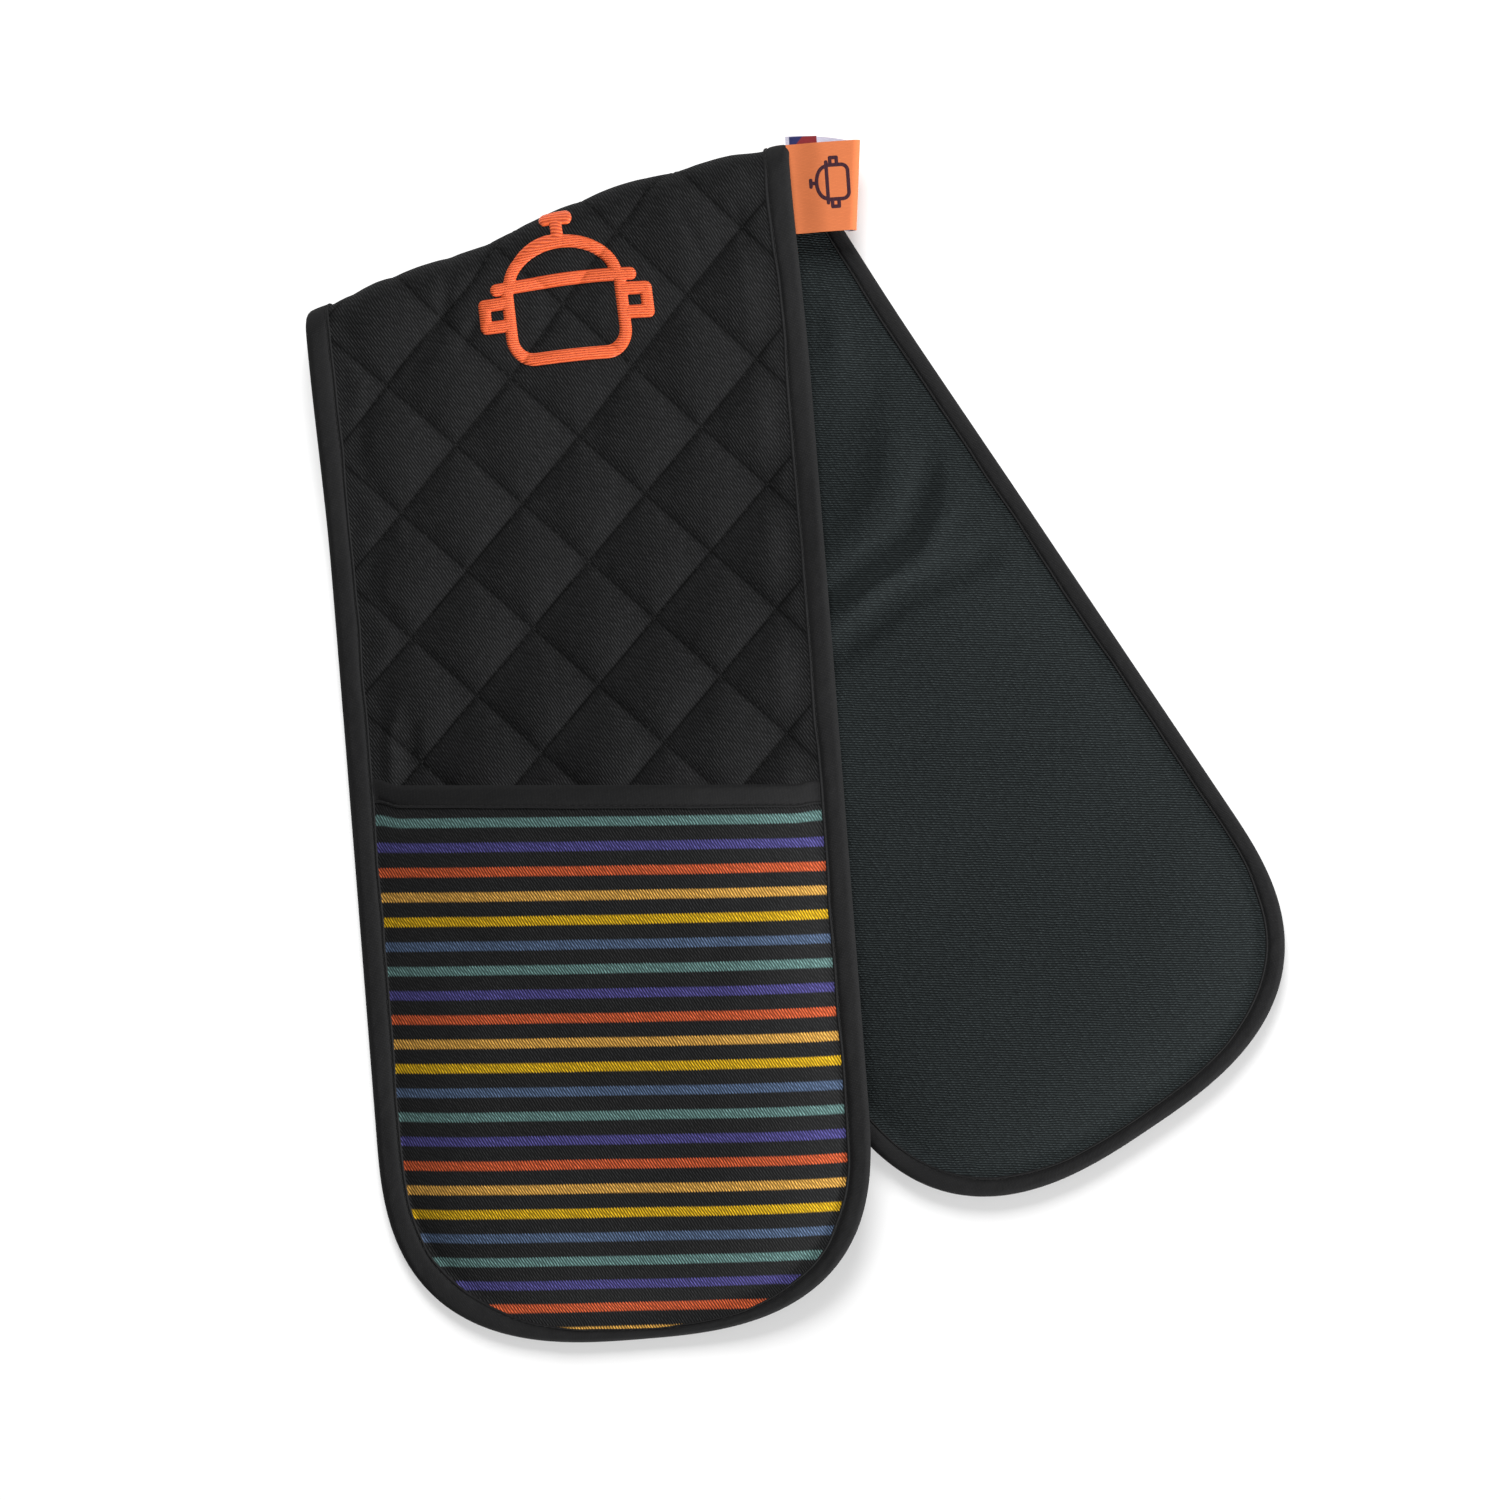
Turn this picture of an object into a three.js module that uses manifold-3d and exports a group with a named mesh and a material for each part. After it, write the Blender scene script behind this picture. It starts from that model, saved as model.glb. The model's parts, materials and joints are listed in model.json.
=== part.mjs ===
// Double oven glove: one quilted strip with a hand pocket at each end, folded in half and laid flat.
// The front leg lies on top with its pocket up, and the back leg is fanned out under it, pocket down.
// Millimetres, +Z up, resting on z = 0, with the origin at the bottom centre of the bounding box.
//
// The strip is described flat first: "a" runs along a leg from the fold to the toe, "b" runs across it
// to the right, and "h" is the height above the middle of the strip, on the side of the quilted face.
// place() rolls that flat pattern round the fold and lays it down.
import * as THREE from 'three';
import Module from 'manifold-3d';

const DEGREE = Math.PI / 180;

// The strip's outline
const HALF_WIDTH = 90.5;
const FRONT_LENGTH = 413.5;
const BACK_LENGTH = 401.5;
const TOE_DEPTH = 81;
const TOE_POWER = 2.75;

// Layers
const FABRIC = 0.6;
const GAP = 0.3;
const STRIP_WADDING_MIDDLE = 4.7;
const STRIP_WADDING_EDGE = 1.2;
const POCKET_WADDING = 2.4;

// Bindings
const BINDING_TAPE = 0.6;
const BINDING_GAP = 0.45;
const EDGE_BINDING_WIDTH = 9;
const MOUTH_BINDING_WIDTH = 8.5;

// Pockets
const POCKET_DEPTH = 204;
const FRONT_MOUTH_SKEW = 3.8 * DEGREE;
const BACK_MOUTH_SKEW = 0;
const FRONT_HAND_ROOM = 10.5;
const BACK_HAND_ROOM = 6;

// The fold: its direction, the skew of the strip across it, its radius and its soft bulge
const FOLD_DIRECTION = 19.2 * DEGREE;
const FOLD_SKEW = 14.7 * DEGREE;
const FOLD_RADIUS = 7.5;
const FOLD_HALF_GAP = 0.3;
const FOLD_BULGE = 5.6;
const FOLD_BULGE_START = -46;
const FOLD_BULGE_RISE = 60;
const FOLD_BULGE_PEAK = 26;
const FOLD_BULGE_FALL = 75;
const FOLD_SETTLE = 90;
const LEG_DRIFT = 1.6;

// How the legs lie on the table and on each other
const MOUTH_RISE_LENGTH = 80;
const MOUTH_RISE_END = 6;
const LEG_CLEARANCE = 1.2;
const DRAPE_OUTSIDE = 110;
const DRAPE_INSIDE = 25;
const FOLD_CLOSE_LENGTH = 90;

// Hanging loop and care label
const LOOP_LENGTH = 23.5;
const LOOP_WIDTH = 33;
const LOOP_THICKNESS = 6.6;
const LOOP_TAPE = 0.8;
const LOOP_ROOT_THICKNESS = 1.9;
const LOOP_CHAMFER = 1.2;
const LOOP_SEAM_LENGTH = 2;
const LOOP_SPREAD_LENGTH = 9;
const LOOP_FROM_FOLD = 2;
const LOOP_ABOVE_AXIS = 3.25;
const LOOP_STAND_OFF = 1.2;
const LABEL_LENGTH = 7;
const LABEL_WIDTH = 12;
const LABEL_THICKNESS = 0.4;
const LABEL_ROOT = 3.5;

// Emblem: a cooking pot drawn in thick embroidered lines
const EMBLEM_A = 29;
const EMBLEM_B = 5;
const EMBLEM_LINE = 4.4;
const EMBLEM_THICKNESS = 0.9;
const POT_HALF_WIDTH = 21;
const POT_DEPTH = 26;
const POT_CORNER = 8;
const POT_RIM_OVERHANG = 4;
const LID_HEIGHT = 13;
const KNOB_HEIGHT = 7;
const KNOB_HALF_WIDTH = 4;
const HANDLE_REACH = 9;
const HANDLE_TOP = 5;
const HANDLE_DROP = 8;
const EMBLEM_STEP = 5;

// Mesh fineness
const COLUMNS = 10;
const FOLD_ROWS = 3;
const UPPER_ROWS = 8;
const POCKET_ROWS = 3;
const TOE_ROWS = 5;
const TOE_LEAD = 20;

// Sizes that follow from the ones above
const PANEL_INSET = EDGE_BINDING_WIDTH + 0.4;
const STEP_WIDTH = 1;
const SKIN = FABRIC + GAP;
const STRIP_HALF_MIDDLE = SKIN + STRIP_WADDING_MIDDLE / 2;
const STRIP_HALF_EDGE = SKIN + STRIP_WADDING_EDGE / 2;
const POCKET_THICKNESS = 2 * SKIN + POCKET_WADDING;
const MOUTH_SETBACK = BINDING_GAP + BINDING_TAPE;
const POCKET_WADDING_MOUTH = POCKET_WADDING - 2 * MOUTH_SETBACK;
const QUARTER_ROLL = FOLD_RADIUS * Math.PI / 2;
const AXIS_HEIGHT = STRIP_HALF_MIDDLE + FOLD_RADIUS;
const LOOP_HEIGHT = AXIS_HEIGHT + LOOP_ABOVE_AXIS;
const EMBLEM_LIFT = GAP + EMBLEM_STEP ** 2 / (4 * FOLD_RADIUS);

const smooth = (x) => {
  const c = Math.min(1, Math.max(0, x));
  return c * c * (3 - 2 * c);
};
const mix = (from, to, x) => from + (to - from) * x;
const along = new THREE.Vector2(Math.cos(FOLD_DIRECTION), Math.sin(FOLD_DIRECTION));
const across = new THREE.Vector2(-Math.sin(FOLD_DIRECTION), Math.cos(FOLD_DIRECTION));

// A leg's own numbers, and its mesh rows, each a function that gives "a" for a "b"
function makeLeg(side, length, handRoom, mouthSkew) {
  const toeCentre = length - TOE_DEPTH;
  const foldRow = (roll) => (b) => (roll - side * b * Math.sin(FOLD_SKEW)) / Math.cos(FOLD_SKEW);
  const mouthRow = (offset) => (b) => length - POCKET_DEPTH + offset + b * Math.tan(mouthSkew);
  const between = (first, last, x) => (b) => mix(first(b), last(b), x);
  const rows = [foldRow(FOLD_HALF_GAP)];
  for (let i = 1; i <= FOLD_ROWS; i++) rows.push(foldRow(QUARTER_ROLL * i / FOLD_ROWS));
  for (let i = 1; i < UPPER_ROWS; i++) {
    rows.push(between(foldRow(QUARTER_ROLL), mouthRow(0), i / UPPER_ROWS));
  }
  const mouth = rows.length;
  const mouthStep = mouthRow(MOUTH_BINDING_WIDTH + STEP_WIDTH);
  rows.push(mouthRow(0), mouthRow(MOUTH_BINDING_WIDTH), mouthStep);
  for (let i = 1; i <= POCKET_ROWS; i++) {
    rows.push(between(mouthStep, () => toeCentre - TOE_LEAD, i / POCKET_ROWS));
  }
  return { side, length, handRoom, toeCentre, rows, mouth, lastRow: rows.length - 1 + TOE_ROWS };
}
const frontLeg = makeLeg(1, FRONT_LENGTH, FRONT_HAND_ROOM, FRONT_MOUTH_SKEW);
const backLeg = makeLeg(-1, BACK_LENGTH, BACK_HAND_ROOM, BACK_MOUTH_SKEW);

// 0 on the centre line and 1 on the outline set in by "inset"
function outlineRatio(leg, a, b, inset) {
  const ahead = Math.max(0, a - leg.toeCentre) / (TOE_DEPTH - inset);
  const aside = Math.abs(b) / (HALF_WIDTH - inset);
  return (ahead ** TOE_POWER + aside ** TOE_POWER) ** (1 / TOE_POWER);
}

const insideRatio = (leg, a, b) => Math.min(1, outlineRatio(leg, a, b, PANEL_INSET));

const stripHalf = (leg, a, b) => (
  mix(STRIP_HALF_MIDDLE, STRIP_HALF_EDGE, insideRatio(leg, a, b) ** 4)
);

const handSpace = (leg, a, b) => GAP + leg.handRoom * (1 - insideRatio(leg, a, b) ** 3);

// 0 up the leg and 1 from just before the pocket's mouth to the toe
const pocketRise = (leg, a) => {
  const end = leg.length - POCKET_DEPTH - MOUTH_RISE_END;
  return smooth((a - end + MOUTH_RISE_LENGTH) / MOUTH_RISE_LENGTH);
};

// Height of the back leg's middle surface: flat on the table, then lifted by its own pocket
function backMiddle(a, b) {
  const lifted = POCKET_THICKNESS + handSpace(backLeg, a, b) + stripHalf(backLeg, a, b);
  return mix(STRIP_HALF_MIDDLE, lifted, pocketRise(backLeg, a));
}

// Height of the front leg's middle surface: it comes down from the fold onto the back leg and
// slopes to the table beyond the back leg's edge
function frontMiddle(roll, p) {
  const backA = roll * Math.cos(FOLD_SKEW) + p * Math.sin(FOLD_SKEW);
  const backB = p * Math.cos(FOLD_SKEW) - roll * Math.sin(FOLD_SKEW);
  const inside = HALF_WIDTH * (1 - outlineRatio(backLeg, backA, backB, 0));
  const crown = POCKET_THICKNESS + GAP + BACK_HAND_ROOM;
  const top = 2 * STRIP_HALF_MIDDLE + crown * pocketRise(backLeg, backA) + LEG_CLEARANCE;
  const resting = top * smooth((inside + DRAPE_OUTSIDE) / (DRAPE_INSIDE + DRAPE_OUTSIDE));
  const close = smooth((roll - QUARTER_ROLL) / FOLD_CLOSE_LENGTH);
  return STRIP_HALF_MIDDLE + mix(2 * FOLD_RADIUS, resting, close);
}

const foldBulge = (p) => {
  const past = Math.max(0, p - FOLD_BULGE_PEAK) / FOLD_BULGE_FALL;
  return FOLD_BULGE * smooth((p - FOLD_BULGE_START) / FOLD_BULGE_RISE) * (1 - past * past);
};

// The flat pattern's point (a, b, h) of a leg, in the laid-down glove
function place(leg, a, b, h) {
  const roll = a * Math.cos(FOLD_SKEW) + leg.side * b * Math.sin(FOLD_SKEW);
  const settled = smooth(roll / FOLD_SETTLE);
  const flatP = b * Math.cos(FOLD_SKEW) - leg.side * a * Math.sin(FOLD_SKEW);
  const p = flatP + leg.side * LEG_DRIFT * settled;
  const angle = Math.min(roll, QUARTER_ROLL) / FOLD_RADIUS;
  let n = (FOLD_RADIUS + h) * Math.cos(angle) + foldBulge(p) * (1 - settled);
  let z = AXIS_HEIGHT + leg.side * (FOLD_RADIUS + h) * Math.sin(angle);
  if (roll > QUARTER_ROLL) {
    n -= roll - QUARTER_ROLL;
    z = leg.side > 0 ? frontMiddle(roll, p) + h : backMiddle(a, b) - h;
  }
  return new THREE.Vector3(p * along.x + n * across.x, p * along.y + n * across.y, z);
}

// A point of the leg's mesh lattice: row along the leg, t from -1 to 1 across it
function latticePoint(leg, row, t, inset) {
  const halfWidth = HALF_WIDTH - inset;
  const b = halfWidth * t;
  if (row < leg.rows.length) return { a: leg.rows[row](b), b };
  const angle = t * Math.PI / 2;
  const power = 2 / TOE_POWER;
  const endB = halfWidth * Math.sign(t) * Math.abs(Math.sin(angle)) ** power;
  const endA = leg.toeCentre + (TOE_DEPTH - inset) * Math.abs(Math.cos(angle)) ** power;
  const x = (row - leg.rows.length + 1) / TOE_ROWS;
  return { a: mix(leg.rows.at(-1)(b), endA, x), b: mix(b, endB, x) };
}

const columnT = (column) => 2 * column / COLUMNS - 1;

// Lattice addresses round the leg's edge, from the fold's left end by the toe to its right end
function edgeAddresses(leg) {
  const addresses = [];
  for (let row = 0; row <= leg.lastRow; row++) addresses.push([row, 0]);
  for (let column = 1; column < COLUMNS; column++) addresses.push([leg.lastRow, column]);
  for (let row = leg.lastRow; row >= 0; row--) addresses.push([row, COLUMNS]);
  return addresses;
}

// The part of the lattice from one row to another, with the rim out to the cut edge where asked
function makeSheet(leg, firstRow, lastRow, withRim) {
  const points = [];
  const quads = [];
  const index = (row, column) => (row - firstRow) * (COLUMNS + 1) + column;
  for (let row = firstRow; row <= lastRow; row++) {
    for (let column = 0; column <= COLUMNS; column++) {
      points.push(latticePoint(leg, row, columnT(column), PANEL_INSET));
      if (row === lastRow || column === COLUMNS) continue;
      quads.push([
        index(row, column), index(row + 1, column), index(row + 1, column + 1), index(row, column + 1),
      ]);
    }
  }
  if (withRim) {
    const addresses = edgeAddresses(leg);
    const rimStart = points.length;
    addresses.forEach(([row, column], i) => {
      points.push(latticePoint(leg, row, columnT(column), 0));
      if (i === 0) return;
      const [lastR, lastC] = addresses[i - 1];
      quads.push([index(lastR, lastC), rimStart + i - 1, rimStart + i, index(row, column)]);
    });
  }
  return { leg, points, quads };
}

function geometryFrom(vertices, triangles) {
  const geometry = new THREE.BufferGeometry();
  const positions = vertices.flatMap((v) => [v.x, v.y, v.z]);
  geometry.setAttribute('position', new THREE.Float32BufferAttribute(positions, 3));
  geometry.setIndex(triangles.flat());
  geometry.computeVertexNormals();
  return geometry;
}

// Turns every face over where the solid would otherwise be inside out
function facingOut(vertices, triangles) {
  const volume = triangles.reduce((sum, [i, j, k]) => (
    sum + vertices[i].dot(new THREE.Vector3().crossVectors(vertices[j], vertices[k]))
  ), 0);
  return volume > 0 ? triangles : triangles.map(([i, j, k]) => [i, k, j]);
}

const solidGeometry = (vertices, triangles) => geometryFrom(vertices, facingOut(vertices, triangles));

// One layer of cloth or wadding: the sheet between two heights
function layerGeometry(sheet, low, high) {
  const { leg, points, quads } = sheet;
  const count = points.length;
  const vertices = [
    ...points.map(({ a, b }) => place(leg, a, b, low(a, b))),
    ...points.map(({ a, b }) => place(leg, a, b, high(a, b))),
  ];
  const triangles = [];
  const edges = new Map();
  for (const [i, j, k, l] of quads) {
    triangles.push([i, k, j], [i, l, k]);
    triangles.push([count + i, count + j, count + k], [count + i, count + k, count + l]);
    for (const [from, to] of [[i, j], [j, k], [k, l], [l, i]]) {
      if (!edges.delete(`${to} ${from}`)) edges.set(`${from} ${to}`, [from, to]);
    }
  }
  for (const [from, to] of edges.values()) {
    triangles.push([from, to, count + to], [from, count + to, count + from]);
  }
  return solidGeometry(vertices, triangles);
}

// A closed section swept from ring to ring, capped at both ends
function sweptSolid(rings, section) {
  const size = section.length;
  const vertices = rings.flat();
  const triangles = [];
  for (let ring = 1; ring < rings.length; ring++) {
    for (let i = 0; i < size; i++) {
      const j = (i + 1) % size;
      const start = (ring - 1) * size;
      triangles.push([start + i, start + j, start + size + j]);
      triangles.push([start + i, start + size + j, start + size + i]);
    }
  }
  const caps = THREE.ShapeUtils.triangulateShape(section, []);
  const end = (rings.length - 1) * size;
  for (const [i, j, k] of caps) triangles.push([i, k, j], [end + i, end + j, end + k]);
  return { vertices, triangles };
}

// A folded tape round an edge: its section in (distance in from the edge, height above the middle)
function tapeSection(width, half) {
  const inner = half + BINDING_GAP;
  const outer = inner + BINDING_TAPE;
  const back = BINDING_GAP + BINDING_TAPE;
  return [
    [width, inner], [width, outer], [-back, outer], [-back, -outer],
    [width, -outer], [width, -inner], [-BINDING_GAP, -inner], [-BINDING_GAP, inner],
  ].map(([x, y]) => new THREE.Vector2(x, y));
}

function edgeBindingGeometry(leg) {
  const section = tapeSection(EDGE_BINDING_WIDTH, STRIP_HALF_EDGE);
  const rings = edgeAddresses(leg).map(([row, column]) => section.map(({ x, y }) => {
    const { a, b } = latticePoint(leg, row, columnT(column), x);
    return place(leg, a, b, y);
  }));
  const { vertices, triangles } = sweptSolid(rings, section);
  return solidGeometry(vertices, triangles);
}

// Heights of a pocket's layers above the middle of the strip. Near the mouth the layers are thinner
// and sit midway inside the mouth binding.
const inMouth = (leg, a, b) => a < leg.rows[leg.mouth + 1](b) + STEP_WIDTH / 2;

function pocketHeights(leg, a, b) {
  const floor = stripHalf(leg, a, b) + handSpace(leg, a, b);
  const mouth = inMouth(leg, a, b);
  const low = floor + (mouth ? MOUTH_SETBACK : 0);
  const wadding = mouth ? POCKET_WADDING_MOUTH : POCKET_WADDING;
  return { floor, low, wadding, high: low + 2 * SKIN + wadding };
}

function mouthBindingGeometry(leg) {
  const half = (2 * SKIN + POCKET_WADDING_MOUTH) / 2;
  const section = tapeSection(MOUTH_BINDING_WIDTH, half);
  const rings = [];
  for (let column = 0; column <= COLUMNS; column++) {
    const { a, b } = latticePoint(leg, leg.mouth, columnT(column), PANEL_INSET);
    rings.push(section.map(({ x, y }) => {
      const floor = stripHalf(leg, a + x, b) + handSpace(leg, a + x, b);
      return place(leg, a + x, b, floor + POCKET_THICKNESS / 2 + y);
    }));
  }
  const { vertices, triangles } = sweptSolid(rings, section);
  return solidGeometry(vertices, triangles);
}

// The loop is a ribbon folded double: its section in (distance out from the seam, height)
function loopGeometry() {
  const half = LOOP_THICKNESS / 2;
  const root = LOOP_ROOT_THICKNESS / 2;
  const outline = [
    [0, -root], [LOOP_SPREAD_LENGTH, -half], [LOOP_LENGTH - LOOP_CHAMFER, -half],
    [LOOP_LENGTH, -half + LOOP_CHAMFER], [LOOP_LENGTH, half - LOOP_CHAMFER],
    [LOOP_LENGTH - LOOP_CHAMFER, half], [LOOP_SPREAD_LENGTH, half], [0, root],
  ];
  const end = LOOP_LENGTH - LOOP_TAPE;
  const inner = half - LOOP_TAPE;
  const chamfer = LOOP_CHAMFER - LOOP_TAPE / 2;
  const hollow = [
    [LOOP_SEAM_LENGTH, 0], [LOOP_SPREAD_LENGTH, inner], [end - chamfer, inner],
    [end, inner - chamfer], [end, chamfer - inner], [end - chamfer, -inner],
    [LOOP_SPREAD_LENGTH, -inner],
  ];
  const toPoints = (list) => list.map(([x, y]) => new THREE.Vector2(x, y));
  const shape = new THREE.Shape(toPoints(outline));
  shape.holes.push(new THREE.Path(toPoints(hollow)));
  const geometry = new THREE.ExtrudeGeometry(shape, { depth: LOOP_WIDTH, bevelEnabled: false });
  return geometry.translate(0, 0, -LOOP_WIDTH / 2);
}

const labelGeometry = () => (
  new THREE.BoxGeometry(LABEL_LENGTH, LABEL_THICKNESS, LABEL_WIDTH).translate(
    LABEL_ROOT + LABEL_LENGTH / 2, 0, LABEL_WIDTH / 2 - LOOP_WIDTH / 2 + STEP_WIDTH,
  )
);

// The loop's frame: x out from the seam, y up, z along the front leg's right edge, next to the fold
function loopFrame() {
  const edge = HALF_WIDTH + BINDING_GAP + BINDING_TAPE + LOOP_STAND_OFF;
  const start = LOOP_FROM_FOLD - edge * Math.tan(FOLD_SKEW);
  const top = place(frontLeg, start, edge, 0).setZ(LOOP_HEIGHT);
  const bottom = place(frontLeg, start + LOOP_WIDTH, edge, 0).setZ(LOOP_HEIGHT);
  const up = new THREE.Vector3(0, 0, 1);
  const down = bottom.clone().sub(top).normalize();
  const right = new THREE.Vector3().crossVectors(up, down);
  const frame = new THREE.Group();
  frame.position.copy(top.add(bottom).multiplyScalar(0.5));
  frame.setRotationFromMatrix(new THREE.Matrix4().makeBasis(right, up, down));
  return frame;
}

// The pot's lines, as lists of points in (right, up) about the emblem's middle
function potLines() {
  const base = -POT_DEPTH + KNOB_HALF_WIDTH;
  const body = new THREE.Path();
  const top = base + POT_DEPTH;
  body.moveTo(-POT_HALF_WIDTH, top);
  body.lineTo(-POT_HALF_WIDTH, base + POT_CORNER);
  body.quadraticCurveTo(-POT_HALF_WIDTH, base, -POT_HALF_WIDTH + POT_CORNER, base);
  body.lineTo(POT_HALF_WIDTH - POT_CORNER, base);
  body.quadraticCurveTo(POT_HALF_WIDTH, base, POT_HALF_WIDTH, base + POT_CORNER);
  body.lineTo(POT_HALF_WIDTH, top);
  const rimEnd = POT_HALF_WIDTH + POT_RIM_OVERHANG;
  const rim = new THREE.LineCurve(new THREE.Vector2(-rimEnd, top), new THREE.Vector2(rimEnd, top));
  const lid = new THREE.EllipseCurve(0, top, POT_HALF_WIDTH - 1, LID_HEIGHT, Math.PI, 0, true);
  const lidTop = top + LID_HEIGHT;
  const knobTop = lidTop + KNOB_HEIGHT;
  const stem = new THREE.LineCurve(new THREE.Vector2(0, lidTop), new THREE.Vector2(0, knobTop));
  const knob = new THREE.LineCurve(
    new THREE.Vector2(-KNOB_HALF_WIDTH, knobTop), new THREE.Vector2(KNOB_HALF_WIDTH, knobTop),
  );
  const handle = (side) => {
    const path = new THREE.Path();
    const out = side * (POT_HALF_WIDTH + HANDLE_REACH);
    path.moveTo(side * POT_HALF_WIDTH, top - HANDLE_TOP);
    path.lineTo(out, top - HANDLE_TOP);
    path.lineTo(out, top - HANDLE_TOP - HANDLE_DROP);
    path.lineTo(side * POT_HALF_WIDTH, top - HANDLE_TOP - HANDLE_DROP);
    return path;
  };
  return [body, rim, lid, stem, knob, handle(-1), handle(1)].map((curve) => (
    curve.getSpacedPoints(Math.max(1, Math.ceil(curve.getLength() / EMBLEM_STEP)))
  ));
}

// One embroidered line, laid on the quilted face of the front leg
function stitchedLine(points) {
  const half = EMBLEM_LINE / 2;
  const section = [[-half, 0], [half, 0], [half, EMBLEM_THICKNESS], [-half, EMBLEM_THICKNESS]];
  const rings = points.map((point, i) => {
    const before = points[Math.max(0, i - 1)];
    const after = points[Math.min(points.length - 1, i + 1)];
    const ahead = after.clone().sub(before).normalize();
    const isEnd = i === 0 ? -half : (i === points.length - 1 ? half : 0);
    return section.map(([x, height]) => {
      const a = EMBLEM_A - point.y - ahead.x * x - ahead.y * isEnd;
      const b = EMBLEM_B + point.x - ahead.y * x + ahead.x * isEnd;
      return place(frontLeg, a, b, stripHalf(frontLeg, a, b) + EMBLEM_LIFT + height);
    });
  });
  return sweptSolid(rings, section.map(([x, y]) => new THREE.Vector2(x, y)));
}

async function emblemGeometry() {
  const wasm = await Module();
  wasm.setup();
  const solids = potLines().map((points) => {
    const { vertices, triangles } = stitchedLine(points);
    return new wasm.Manifold(new wasm.Mesh({
      numProp: 3,
      vertProperties: new Float32Array(vertices.flatMap((v) => [v.x, v.y, v.z])),
      triVerts: new Uint32Array(facingOut(vertices, triangles).flat()),
    }));
  });
  const mesh = solids.reduce((joined, solid) => joined.add(solid)).getMesh();
  const geometry = new THREE.BufferGeometry();
  geometry.setAttribute('position', new THREE.Float32BufferAttribute(mesh.vertProperties, 3));
  geometry.setIndex(Array.from(mesh.triVerts));
  geometry.computeVertexNormals();
  return geometry;
}

const cloth = (color, roughness) => ({ color, roughness, metalness: 0 });
const FACE_CLOTH = cloth(0x222222, 0.85);
const BACKING_CLOTH = cloth(0x182020, 0.8);
const LINING_CLOTH = cloth(0x1c1c1c, 0.9);
const STRIPED_CLOTH = cloth(0x46424a, 0.85);
const WADDING = cloth(0xd8d4c8, 1);
const BINDING = cloth(0x1e1e1e, 0.7);
const ORANGE_THREAD = cloth(0xff6a2c, 0.45);
const ORANGE_RIBBON = cloth(0xf26a34, 0.5);
const LABEL_CLOTH = cloth(0xd9d5e8, 0.8);

const part = new THREE.Group();
const content = new THREE.Group();
part.add(content);

function addMesh(parent, name, geometry, finish) {
  const mesh = new THREE.Mesh(geometry, new THREE.MeshStandardMaterial(finish));
  mesh.name = name;
  parent.add(mesh);
}

function addStrip(leg, name) {
  const sheet = makeSheet(leg, 0, leg.lastRow, true);
  const half = (a, b) => stripHalf(leg, a, b);
  const layer = (low, high) => layerGeometry(sheet, low, high);
  addMesh(content, `${name}_backing`, layer(
    (a, b) => -half(a, b), (a, b) => FABRIC - half(a, b),
  ), BACKING_CLOTH);
  addMesh(content, `${name}_wadding`, layer(
    (a, b) => SKIN - half(a, b), (a, b) => half(a, b) - SKIN,
  ), WADDING);
  addMesh(content, `${name}_quilted_face`, layer(
    (a, b) => half(a, b) - FABRIC, (a, b) => half(a, b),
  ), FACE_CLOTH);
  addMesh(content, `${name}_edge_binding`, edgeBindingGeometry(leg), BINDING);
}

function addPocket(leg, name) {
  const sheet = makeSheet(leg, leg.mouth, leg.lastRow, false);
  const at = (a, b) => pocketHeights(leg, a, b);
  const layer = (low, high) => layerGeometry(sheet, low, high);
  addMesh(content, `${name}_pocket_lining`, layer(
    (a, b) => at(a, b).low, (a, b) => at(a, b).low + FABRIC,
  ), LINING_CLOTH);
  addMesh(content, `${name}_pocket_wadding`, layer(
    (a, b) => at(a, b).low + SKIN, (a, b) => at(a, b).high - SKIN,
  ), WADDING);
  addMesh(content, `${name}_pocket_outer`, layer(
    (a, b) => at(a, b).high - FABRIC, (a, b) => at(a, b).high,
  ), STRIPED_CLOTH);
  addMesh(content, `${name}_pocket_mouth_binding`, mouthBindingGeometry(leg), BINDING);
}

addStrip(backLeg, 'back');
addPocket(backLeg, 'back');
addStrip(frontLeg, 'front');
addPocket(frontLeg, 'front');
addMesh(content, 'emblem', await emblemGeometry(), ORANGE_THREAD);

const loop = loopFrame();
content.add(loop);
addMesh(loop, 'hanging_loop', loopGeometry(), ORANGE_RIBBON);
addMesh(loop, 'care_label', labelGeometry(), LABEL_CLOTH);

// The origin goes to the bottom centre of the bounding box
const box = new THREE.Box3().setFromObject(part, true);
const centre = box.getCenter(new THREE.Vector3());
content.position.set(-centre.x, -centre.y, -box.min.z);

export default part;
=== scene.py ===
"""Looks of a double oven glove: quilted strip, two hand pockets, bindings, emblem and hanging loop.

Everything is drawn on the flat cutting pattern first. There "s" runs along the strip from the middle of
the fold, plus towards the front toe and minus towards the back toe, "b" runs across it to the right, and
"h" is the height above the middle of the strip, on the side of the quilted face. Lay.place() rolls the
flat pattern round the fold and lays it on the table. All sizes are in metres.
"""

import json
import logging
import math
from collections.abc import Callable
from dataclasses import dataclass, field
from enum import Enum

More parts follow.
